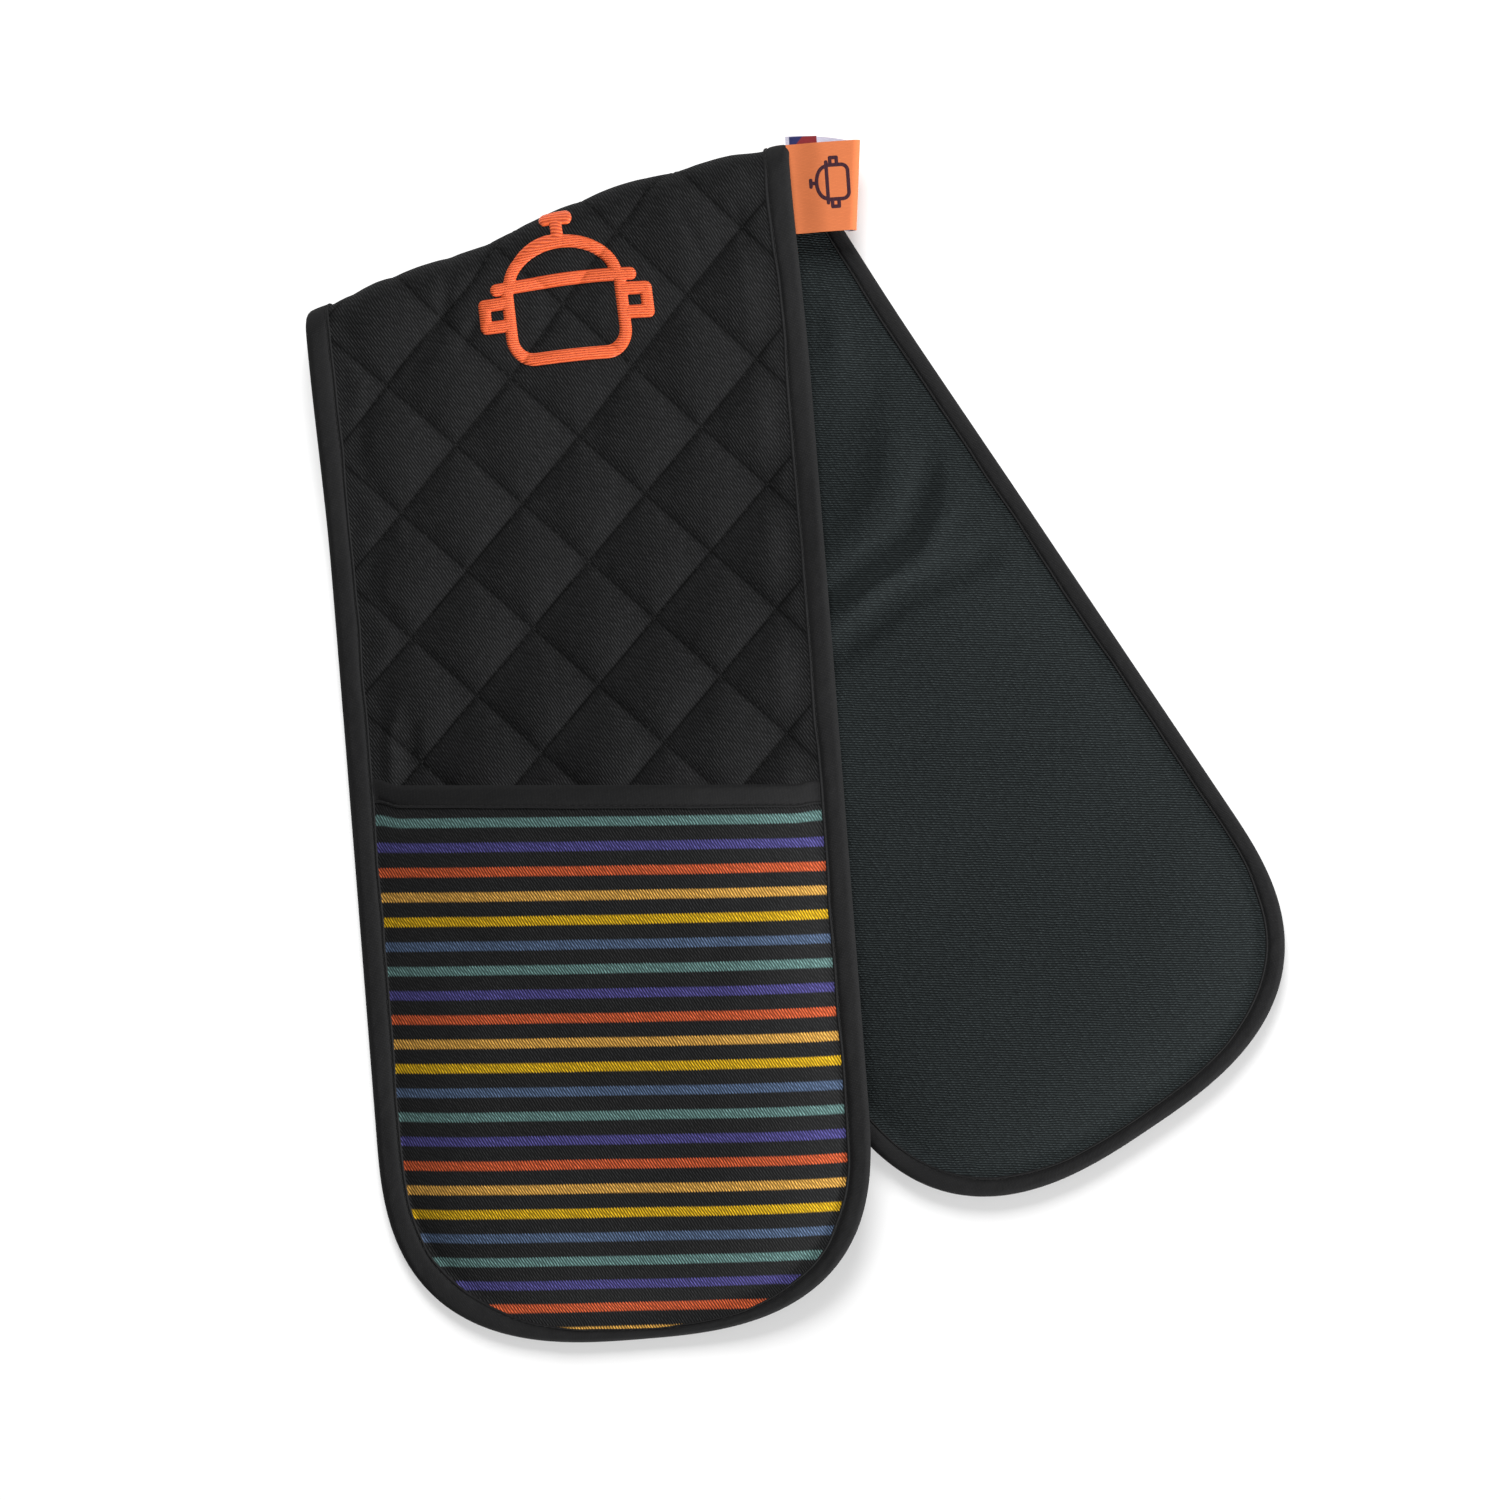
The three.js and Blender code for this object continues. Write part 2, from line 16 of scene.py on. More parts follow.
import bpy
import numpy as np
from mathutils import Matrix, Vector


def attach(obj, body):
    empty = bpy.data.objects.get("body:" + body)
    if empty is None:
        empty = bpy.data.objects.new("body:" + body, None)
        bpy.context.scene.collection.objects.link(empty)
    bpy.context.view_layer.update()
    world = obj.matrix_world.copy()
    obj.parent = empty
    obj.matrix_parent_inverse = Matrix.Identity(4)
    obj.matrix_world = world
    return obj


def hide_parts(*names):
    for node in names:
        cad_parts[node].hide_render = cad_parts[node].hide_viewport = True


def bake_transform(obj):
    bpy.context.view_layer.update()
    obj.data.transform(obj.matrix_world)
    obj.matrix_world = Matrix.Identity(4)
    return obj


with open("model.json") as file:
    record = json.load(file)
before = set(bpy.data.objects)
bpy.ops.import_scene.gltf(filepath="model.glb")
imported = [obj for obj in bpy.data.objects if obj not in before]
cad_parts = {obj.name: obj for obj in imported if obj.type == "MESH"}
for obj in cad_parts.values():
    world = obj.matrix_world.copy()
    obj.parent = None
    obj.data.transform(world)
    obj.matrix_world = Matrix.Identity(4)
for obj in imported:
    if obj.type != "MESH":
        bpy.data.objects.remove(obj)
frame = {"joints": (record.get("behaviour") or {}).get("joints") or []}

log = logging.getLogger("oven_glove")
MM = 0.001


class Side(Enum):
    """The two legs of the folded strip; the value is the sign of "s" on the leg."""

    FRONT = 1
    BACK = -1

    @property
    def leg(self) -> str:
        """Name of the leg's body."""
        return "front_leg" if self is Side.FRONT else "back_leg"

    @property
    def pocket(self) -> str:
        """Name of the body of the leg's hand pocket."""
        return "front_pocket" if self is Side.FRONT else "back_pocket"

    @property
    def word(self) -> str:
        """The word that the leg's pieces and nodes start with."""
        return self.name.lower()


def smooth(x: np.ndarray) -> np.ndarray:
    """Smooth step from 0 at x = 0 to 1 at x = 1."""
    c = np.clip(x, 0.0, 1.0)
    return c * c * (3 - 2 * c)


def mix(start: np.ndarray, end: np.ndarray, x: np.ndarray) -> np.ndarray:
    """Straight blend from start at x = 0 to end at x = 1."""
    return start + (end - start) * x


def bump(x: np.ndarray, width: float) -> np.ndarray:
    """Bell curve of x, 1 in its middle."""
    return np.exp(-((x / width) ** 2))


def segment_distance(x: np.ndarray, y: np.ndarray, lines: list) -> np.ndarray:
    """Distance from each point to the nearest of some polylines.

    Args:
        x: First coordinate of the points.
        y: Second coordinate of the points.
        lines: Polylines, each a list of (x, y) points.

    Returns:
        The distances, in the shape of x.
    """
    best = np.full(x.shape, np.inf)
    for line in lines:
        for (x0, y0), (x1, y1) in zip(line, line[1:]):
            dx, dy = x1 - x0, y1 - y0
            t = np.clip(((x - x0) * dx + (y - y0) * dy) / (dx * dx + dy * dy), 0, 1)
            best = np.minimum(best, np.hypot(x - x0 - t * dx, y - y0 - t * dy))
    return best


@dataclass(frozen=True)
class ClothNoise:
    """Smooth seeded noise over the flat pattern, from -1 to 1."""

    seed: int
    knots: int = 64
    turn: float = 0.6

    def sample(self, x: np.ndarray, y: np.ndarray, size: float) -> np.ndarray:
        """Noise at points of the pattern.

        Args:
            x: First coordinate of the points.
            y: Second coordinate of the points.
            size: Distance between the noise's knots.

        Returns:
            Two octaves of noise at the points.
        """
        table = np.random.default_rng(self.seed).uniform(-1, 1, (self.knots, self.knots))
        total = np.zeros(np.broadcast(x, y).shape)
        for octave, weight in ((1.0, 0.7), (2.1, 0.3)):
            c, k = math.cos(self.turn * octave), math.sin(self.turn * octave)
            gx = (x * c + y * k) / size * octave
            gy = (y * c - x * k) / size * octave
            ix, iy = np.floor(gx).astype(int), np.floor(gy).astype(int)
            fx, fy = smooth(gx - ix), smooth(gy - iy)
            corner = {
                (i, j): table[(ix + i) % self.knots, (iy + j) % self.knots]
                for i in (0, 1)
                for j in (0, 1)
            }
            low = mix(corner[0, 0], corner[1, 0], fx)
            high = mix(corner[0, 1], corner[1, 1], fx)
            total += weight * mix(low, high, fy)
        return total


@dataclass(frozen=True)
class Pattern:
    """The cut cloth: outline, layer heights and pocket mouths."""

    half_width: float = 90.5 * MM
    front_length: float = 413.5 * MM
    back_length: float = 401.5 * MM
    toe_depth: float = 81 * MM
    toe_power: float = 2.75
    toe_lead: float = 20 * MM
    panel_inset: float = 9.4 * MM
    half_middle: float = 3.25 * MM
    half_edge: float = 1.5 * MM
    gap: float = 0.3 * MM
    pocket_depth: float = 204 * MM
    pocket_thickness: float = 4.2 * MM
    front_mouth_slope: float = math.tan(math.radians(4.3))
    front_mouth_lead: float = 1 * MM
    front_hand_room: float = 10.5 * MM
    back_hand_room: float = 6 * MM
    mouth_rise: float = 80 * MM
    mouth_rise_end: float = 6 * MM

    def length(self, s: np.ndarray) -> np.ndarray:
        """Length of the leg that each point is on."""
        return np.where(s >= 0, self.front_length, self.back_length)

    def hand_room(self, side: Side) -> float:
        """How far a leg's pocket stands off its strip in the middle."""
        return self.front_hand_room if side is Side.FRONT else self.back_hand_room

    def mouth(self, side: Side) -> tuple[float, float]:
        """The mouth's line on a leg, as "s" on the centre line and its slope across the strip."""
        if side is Side.FRONT:
            return self.front_length - self.pocket_depth - self.front_mouth_lead, self.front_mouth_slope
        return self.pocket_depth - self.back_length, 0.0

    def ratio(self, s: np.ndarray, b: np.ndarray, inset: float) -> np.ndarray:
        """0 on the centre line and 1 on the outline set in by inset."""
        ahead = np.abs(s) - (self.length(s) - self.toe_depth)
        ahead = np.maximum(0.0, ahead) / (self.toe_depth - inset)
        aside = np.abs(b) / (self.half_width - inset)
        return (ahead**self.toe_power + aside**self.toe_power) ** (1 / self.toe_power)

    def inside(self, s: np.ndarray, b: np.ndarray) -> np.ndarray:
        """The ratio inside the bindings, at most 1."""
        return np.minimum(1.0, self.ratio(s, b, self.panel_inset))

    def half(self, s: np.ndarray, b: np.ndarray) -> np.ndarray:
        """Half the strip's thickness."""
        return mix(self.half_middle, self.half_edge, self.inside(s, b) ** 4)

    def hand_space(self, s: np.ndarray, b: np.ndarray) -> np.ndarray:
        """Space between the strip and a pocket's lining."""
        room = np.where(s >= 0, self.front_hand_room, self.back_hand_room)
        return self.gap + room * (1 - self.inside(s, b) ** 3)

    def pocket_rise(self, s: np.ndarray) -> np.ndarray:
        """0 up a leg and 1 from just before its pocket's mouth."""
        end = self.length(s) - self.pocket_depth - self.mouth_rise_end
        return smooth((np.abs(s) - end + self.mouth_rise) / self.mouth_rise)

    def toe_start(self, side: Side) -> float:
        """The "s" where a leg's outline starts to round."""
        length = self.front_length if side is Side.FRONT else self.back_length
        return side.value * (length - self.toe_depth)

    def toe_point(self, side: Side, angle: np.ndarray, inset: float) -> tuple[np.ndarray, np.ndarray]:
        """A point of the rounded toe.

        Args:
            side: The leg.
            angle: From minus to plus a quarter turn, left to right.
            inset: How far inside the cut edge.

        Returns:
            The point's s and b.
        """
        power = 2 / self.toe_power
        b = (self.half_width - inset) * np.sign(angle) * np.abs(np.sin(angle)) ** power
        ahead = (self.toe_depth - inset) * np.abs(np.cos(angle)) ** power
        return self.toe_start(side) + side.value * ahead, b


@dataclass(frozen=True)
class Lay:
    """How the strip is rolled round its fold and laid down."""

    pattern: Pattern
    fold_place: tuple[float, float]
    along: tuple[float, float]
    skew: float = math.radians(14.7)
    radius: float = 7.5 * MM
    bulge: float = 5.6 * MM
    bulge_start: float = -46 * MM
    bulge_rise: float = 60 * MM
    bulge_peak: float = 26 * MM
    bulge_fall: float = 75 * MM
    corner_bulge: float = 2.6 * MM
    corner_place: float = -64 * MM
    corner_reach: float = 22 * MM
    settle: float = 90 * MM
    drift: float = 1.6 * MM
    clearance: float = 1.2 * MM
    drape_outside: float = 110 * MM
    drape_inside: float = 25 * MM
    close_length: float = 90 * MM
    contact: float = 0.5 * MM

    @classmethod
    def from_frame(cls, pattern: Pattern, joints: list[dict]) -> "Lay":
        """Takes the fold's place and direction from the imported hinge.

        Args:
            pattern: The flat cloth.
            joints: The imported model's joints.

        Returns:
            The lay, whose fold runs where the hinge is.
        """
        hinge = next(j for j in joints if j["name"] == "fold")
        along = (-hinge["axis"][0], -hinge["axis"][1])
        ahead = pattern.half_middle + cls.radius + cls.bulge + 0.15 * MM
        place = (hinge["pos_m"][0] + along[1] * ahead, hinge["pos_m"][1] - along[0] * ahead)
        return cls(pattern, place, along)

    @property
    def quarter(self) -> float:
        """Length of the strip in a quarter turn of the fold."""
        return self.radius * math.pi / 2

    @property
    def axis_height(self) -> float:
        """Height of the fold's axis over the table."""
        return self.pattern.half_middle + self.radius

    def roll(self, s: np.ndarray, b: np.ndarray) -> np.ndarray:
        """Distance from the middle of the fold, plus on the front leg."""
        return s * math.cos(self.skew) + b * math.sin(self.skew)

    def fold_row(self, roll: float) -> tuple[float, float]:
        """A line of one roll across the strip, as "s" on the centre line and its slope."""
        return roll / math.cos(self.skew), -math.tan(self.skew)

    def back_middle(self, s: np.ndarray, b: np.ndarray) -> np.ndarray:
        """Height of the back leg's middle surface."""
        cut = self.pattern
        lifted = cut.pocket_thickness + cut.hand_space(s, b) + cut.half(s, b)
        return mix(cut.half_middle, lifted, cut.pocket_rise(s))

    def front_middle(self, roll: np.ndarray, p: np.ndarray) -> np.ndarray:
        """Height of the front leg's middle surface: down from the fold, over the back leg, to the table."""
        cut = self.pattern
        back_s = -(roll * math.cos(self.skew) + p * math.sin(self.skew))
        back_b = p * math.cos(self.skew) - roll * math.sin(self.skew)
        inside = cut.half_width * (1 - cut.ratio(back_s, back_b, 0.0))
        crown = cut.pocket_thickness + cut.gap + cut.back_hand_room
        top = 2 * cut.half_middle + crown * cut.pocket_rise(back_s) + self.clearance
        resting = top * smooth((inside + self.drape_outside) / (self.drape_inside + self.drape_outside))
        close = smooth((roll - self.quarter) / self.close_length)
        return cut.half_middle + mix(2 * self.radius, resting, close)

    def place(self, s: np.ndarray, b: np.ndarray, h: np.ndarray) -> np.ndarray:
        """Points of the laid-down strip.

        Args:
            s: Place along the strip.
            b: Place across the strip.
            h: Height above the middle surface on the quilted side.

        Returns:
            World points, with x, y and z on the last axis.
        """
        s, b, h = np.broadcast_arrays(s, b, h)
        signed = self.roll(s, b)
        side = np.where(signed >= 0, 1.0, -1.0)
        roll = np.abs(signed)
        settled = smooth(roll / self.settle)
        p = b * math.cos(self.skew) - s * math.sin(self.skew) + side * self.drift * settled
        past = np.maximum(0.0, p - self.bulge_peak) / self.bulge_fall
        bulge = self.bulge * smooth((p - self.bulge_start) / self.bulge_rise) * (1 - past**2)
        bulge = bulge + self.corner_bulge * bump(p - self.corner_place, self.corner_reach)
        angle = np.minimum(roll, self.quarter) / self.radius
        n = (self.radius + h) * np.cos(angle) + bulge * (1 - settled)
        n = n - np.maximum(0.0, roll - self.quarter)
        z = self.axis_height + side * (self.radius + h) * np.sin(angle)
        laid = np.where(side > 0, self.front_middle(roll, p) + h, self.back_middle(s, b) - h)
        z = np.where(roll > self.quarter, laid, z)
        z = (z + np.sqrt(z**2 + self.contact**2)) / 2
        x = self.fold_place[0] + p * self.along[0] - n * self.along[1]
        y = self.fold_place[1] + p * self.along[1] + n * self.along[0]
        return np.stack([x, y, z], axis=-1)


@dataclass(frozen=True)
class Quilting:
    """Square diamonds stitched through the face and the wadding."""

    step_s: float = 23.05 * MM
    step_b: float = 22.6 * MM
    start_s: float = 125.4 * MM
    start_b: float = 4.4 * MM
    puff: float = 3.9 * MM
    sink: float = 1.5 * MM
    rise_power: float = 2.2
    ditch: float = 0.55 * MM
    ditch_width: float = 0.8 * MM
    pucker: float = 0.3 * MM
    pucker_size: float = 5.5 * MM
    pucker_offset: float = 4 * MM
    pucker_reach: float = 4.5 * MM
    wander: float = 0.012
    wander_size: float = 17 * MM
    uneven: float = 0.16
    uneven_size: float = 1.37
    noise: ClothNoise = ClothNoise(7)

    @property
    def spacing(self) -> float:
        """Distance between two neighbouring lines of stitches."""
        return 2 * self.step_s * self.step_b / math.hypot(self.step_s, self.step_b)

    def address(self, s: np.ndarray, b: np.ndarray) -> tuple[np.ndarray, np.ndarray]:
        """Place in the diamonds: each whole number is a line of stitches."""
        along, across = (s - self.start_s) / self.step_s, (b - self.start_b) / self.step_b
        return (along + across) / 2, (along - across) / 2

    def point(self, i: np.ndarray, j: np.ndarray) -> tuple[np.ndarray, np.ndarray]:
        """The s and b of an address."""
        return self.start_s + (i + j) * self.step_s, self.start_b + (i - j) * self.step_b

    def relief(self, s: np.ndarray, b: np.ndarray) -> np.ndarray:
        """Height of the quilted face over the plain layer, minus in the stitched lines."""
        i, j = self.address(s, b)
        wander = self.wander * self.noise.sample(s, b, self.wander_size)
        to_i = np.abs(i + wander - np.round(i + wander))
        to_j = np.abs(j - wander - np.round(j - wander))
        cell = self.uneven * self.noise.sample(np.floor(i), np.floor(j), self.uneven_size)
        dome = np.ones_like(to_i)
        near = np.full_like(to_i, np.inf)
        for share in (to_i, to_j):
            dome = dome * (1 - (1 - np.minimum(1.0, 2 * share)) ** self.rise_power)
            near = np.minimum(near, share * self.spacing)
        puckers = self.noise.sample(s, b, self.pucker_size)
        puckers = self.pucker * puckers * bump(near - self.pucker_offset, self.pucker_reach)
        raised = self.puff * (1 + cell) * dome - self.sink
        return raised - self.ditch * bump(near, self.ditch_width) + puckers


@dataclass(frozen=True)
class Crease:
    """A soft ridge or valley in cloth, along a line on the flat pattern."""

    line: tuple
    height: float
    width: float
    fade: float = 18 * MM
    end_share: float = 0.35

    def relief(self, s: np.ndarray, b: np.ndarray) -> np.ndarray:
        """Height of the crease, fading out past the ends of its line."""
        away = segment_distance(s, b, [self.line])
        first, last = self.line[0], self.line[-1]
        ends = np.minimum(np.hypot(s - first[0], b - first[1]), np.hypot(s - last[0], b - last[1]))
        return self.height * bump(away, self.width) * mix(self.end_share, 1.0, smooth(ends / self.fade))


@dataclass
class Emblem:
    """A cooking pot in thick satin stitch, on the front leg just under the fold."""

    middle_s: float = 29 * MM
    middle_b: float = 5 * MM
    line: float = 4.4 * MM
    thickness: float = 1.25 * MM
    lift: float = 0.12 * MM
    step: float = 0.42 * MM
    half_width: float = 21 * MM
    depth: float = 26 * MM
    corner: float = 8 * MM
    rim_overhang: float = 4 * MM
    lid: float = 13 * MM
    knob: float = 7 * MM
    knob_half: float = 4 * MM
    handle_reach: float = 9 * MM
    handle_top: float = 5 * MM
    handle_drop: float = 8 * MM
    arc_steps: int = 12

    def lines(self) -> list:
        """The pot's lines, in (right, up) about the emblem's middle."""
        base = self.knob_half - self.depth
        top, side, corner = base + self.depth, self.half_width, self.corner
        turn = np.linspace(0, math.pi / 2, self.arc_steps)
        left = [(-side + corner * (1 - math.sin(t)), base + corner * (1 - math.cos(t))) for t in turn[::-1]]
        right = [(side - corner * (1 - math.sin(t)), base + corner * (1 - math.cos(t))) for t in turn]
        body = [(-side, top), *left, *right, (side, top)]
        rim = [(-side - self.rim_overhang, top), (side + self.rim_overhang, top)]
        span = np.linspace(math.pi, 0, 2 * self.arc_steps)
        lid = [((side - MM) * math.cos(t), top + self.lid * math.sin(t)) for t in span]
        lid_top, knob_top = top + self.lid, top + self.lid + self.knob
        stem = [(0, lid_top), (0, knob_top)]
        knob = [(-self.knob_half, knob_top), (self.knob_half, knob_top)]
        handles = []
        for sign in (-1, 1):
            out, high = sign * (side + self.handle_reach), top - self.handle_top
            low = high - self.handle_drop
            handles.append([(sign * side, high), (out, high), (out, low), (sign * side, low)])
        return [body, rim, lid, stem, knob, *handles]

    def distance(self, s: np.ndarray, b: np.ndarray) -> np.ndarray:
        """Distance of points of the front leg from the emblem's lines."""
        right, up = np.asarray(b) - self.middle_b, self.middle_s - np.asarray(s)
        away = np.maximum(np.abs(right) - 2 * self.half_width, np.abs(up) - 2 * self.half_width)
        result = np.maximum(away, self.half_width) + np.zeros(np.broadcast(right, up).shape)
        near = (np.abs(right) < 2 * self.half_width) & (np.abs(up) < 2 * self.half_width)
        if near.any():
            result[near] = segment_distance(right[near], up[near], self.lines())
        return result


@dataclass(frozen=True)
class Relief:
    """Heights of the strip's outer surfaces, with quilting, wrinkles and the sunken emblem."""

    pattern: Pattern
    quilting: Quilting
    emblem: Emblem
    face_fade: float = 0.86
    back_fade: float = 0.8
    edge_fade: float = 0.985
    emblem_calm: float = 0.55
    emblem_calm_reach: float = 12 * MM
    emblem_sink: float = 0.55 * MM
    emblem_reach: float = 5.5 * MM
    fold_calm: float = 0.6
    fold_calm_reach: float = 17 * MM
    fold_skew: float = math.tan(math.radians(14.7))
    face_creases: tuple = (
        Crease(((0.176, -0.0735), (0.189, -0.0755), (0.203, -0.0765)), 1.5 * MM, 2.6 * MM, 5 * MM),
        Crease(((0.176, -0.066), (0.196, -0.067)), -0.9 * MM, 3.2 * MM, 6 * MM),
        Crease(((0.012, -0.036), (0.034, -0.041), (0.052, -0.052)), -1.1 * MM, 2.6 * MM),
        Crease(((0.030, -0.026), (0.044, -0.034)), -0.8 * MM, 2.2 * MM, 8 * MM),
        Crease(((0.002, 0.050), (0.023, 0.058)), -0.5 * MM, 1.8 * MM, 8 * MM),
        Crease(((0.000, 0.070), (0.020, 0.074)), -0.5 * MM, 1.6 * MM, 8 * MM),
        Crease(((0.108, -0.080), (0.116, -0.064)), -0.6 * MM, 2.2 * MM, 8 * MM),
        Crease(((0.128, -0.079), (0.140, -0.060)), 0.6 * MM, 2.4 * MM, 8 * MM),
    )
    back_creases: tuple = (
        Crease(((-0.192, -0.004), (-0.187, 0.033), (-0.193, 0.080)), -1.9 * MM, 4.6 * MM),
        Crease(((-0.181, 0.006), (-0.179, 0.047), (-0.166, 0.074)), 1.1 * MM, 5.0 * MM),
        Crease(((-0.171, 0.008), (-0.168, 0.050), (-0.145, 0.080)), -1.8 * MM, 4.2 * MM),
        Crease(((-0.128, 0.070), (-0.150, 0.052), (-0.160, 0.030)), 0.9 * MM, 6.5 * MM),
        Crease(((-0.074, 0.084), (-0.090, 0.072), (-0.110, 0.055)), 0.9 * MM, 6.0 * MM),
        Crease(((-0.104, 0.082), (-0.120, 0.068)), -0.8 * MM, 5.0 * MM),
        Crease(((-0.218, -0.020), (-0.253, 0.0335), (-0.286, 0.083)), -0.42 * MM, 1.1 * MM),
    )
    crease_gain: float = 1.5
    back_gain: float = 1.9
    deepest: float = 2.0 * MM
    face_waves: tuple = ((0.25 * MM, 31 * MM),)
    back_waves: tuple = ((0.3 * MM, 38 * MM), (0.10 * MM, 11 * MM))
    noise: ClothNoise = ClothNoise(23)

    def face(self, s: np.ndarray, b: np.ndarray) -> np.ndarray:
        """Height of the quilted face, above the middle of the strip."""
        inside = self.pattern.ratio(s, b, self.pattern.panel_inset)
        open_face = 1 - smooth((inside - self.face_fade) / (self.edge_fade - self.face_fade))
        away = self.emblem.distance(s, b)
        pressed = bump(np.maximum(0.0, away - self.emblem.line / 2), self.emblem_reach)
        calm = 1 - self.emblem_calm * bump(away, self.emblem_calm_reach)
        calm = calm * (1 - self.fold_calm * bump(s + self.fold_skew * b, self.fold_calm_reach))
        relief = self.quilting.relief(s, b) * calm - self.emblem_sink * pressed
        relief = relief + self.crease_gain * sum(c.relief(s, b) for c in self.face_creases)
        for height, size in self.face_waves:
            relief = relief + height * self.noise.sample(s, b, size)
        return self.pattern.half(s, b) + relief * open_face

    def back(self, s: np.ndarray, b: np.ndarray) -> np.ndarray:
        """Depth of the backing's outer surface, below the middle of the strip."""
        inside = self.pattern.ratio(s, b, self.pattern.panel_inset)
        open_face = 1 - smooth((inside - self.back_fade) / (self.edge_fade - self.back_fade))
        relief = self.back_gain * sum(c.relief(s, b) for c in self.back_creases)
        relief = np.where(relief < 0, self.deepest * np.tanh(relief / self.deepest), relief)
        for height, size in self.back_waves:
            relief = relief + height * self.noise.sample(s, b, size)
        return self.pattern.half(s, b) + relief * open_face


@dataclass
class Cloth:
    """A closed sheet of cloth: a lattice of points on its outside and another on its inside."""

    outer: np.ndarray
    inner: np.ndarray
    chart: np.ndarray

    def normals(self) -> tuple[np.ndarray, np.ndarray]:
        """Smooth normals of the outside and the inside, pointing out of the cloth."""
        found = []
        for surface, away in ((self.outer, self.outer - self.inner), (self.inner, self.inner - self.outer)):
            normal = np.cross(np.gradient(surface, axis=0), np.gradient(surface, axis=1))
            normal /= np.maximum(np.linalg.norm(normal, axis=-1, keepdims=True), 1e-15)
            facing = np.sign((normal * away).sum())
            found.append(normal * facing)
        return found[0], found[1]

    def piece(self, name: str, rows: slice = slice(None), columns: slice = slice(None)) -> bpy.types.Object:
        """Makes an object of some of the lattice.

        Args:
            name: The piece's name.
            rows: Which rows of points it takes.
            columns: Which columns of points it takes.

        Returns:
            The new object, closed all round.
        """
        outer, inner = self.outer[rows, columns], self.inner[rows, columns]
        normals = np.concatenate([n[rows, columns].reshape(-1, 3) for n in self.normals()])
        chart = self.chart[rows, columns].reshape(-1, 2)
        height, width = outer.shape[:2]
        index = np.arange(height * width).reshape(height, width)
        around = (index[:-1, :-1], index[:-1, 1:], index[1:, 1:], index[1:, :-1])
        quads = np.stack(around, axis=-1).reshape(-1, 4)
        rim = np.concatenate([index[0, :-1], index[:-1, -1], index[-1, :0:-1], index[:0:-1, 0]])
        ahead, far = np.roll(rim, -1), height * width
        sides = np.stack([ahead, rim, rim + far, ahead + far], axis=-1)
        faces = np.concatenate([quads, quads[:, ::-1] + far, sides])
        points = np.concatenate([outer.reshape(-1, 3), inner.reshape(-1, 3)])
        return make_object(name, points, faces, np.concatenate([chart, chart]), normals)


def make_object(
    name: str,
    points: np.ndarray,
    faces: np.ndarray,
    chart: np.ndarray,
    normals: np.ndarray | None = None,
) -> bpy.types.Object:
    """Makes a smooth mesh object whose faces point out.

    Args:
        name: The object's name.
        points: Its vertices.
        faces: Its quads, as indices of vertices.
        chart: The flat-pattern coordinates of each vertex, kept as its UV map.
        normals: Its vertex normals, where the mesh's own aren't wanted.

    Returns:
        The object, linked to the scene.
    """
    corners = points[faces]
    volume = np.einsum("ij,ij->i", corners[:, 0], np.cross(corners[:, 1], corners[:, 2])).sum()
    volume += np.einsum("ij,ij->i", corners[:, 0], np.cross(corners[:, 2], corners[:, 3])).sum()
    if volume < 0:
        faces = faces[:, ::-1]
    mesh = bpy.data.meshes.new(name)
    mesh.from_pydata(points.tolist(), [], faces.tolist())
    mesh.shade_smooth()
    layer = mesh.uv_layers.new(name="pattern")
    layer.data.foreach_set("uv", chart[faces.ravel()].astype(np.float32).ravel())
    if normals is not None:
        mesh.normals_split_custom_set_from_vertices(normals.tolist())
    made = bpy.data.objects.new(name, mesh)
    bpy.context.scene.collection.objects.link(made)
    return made


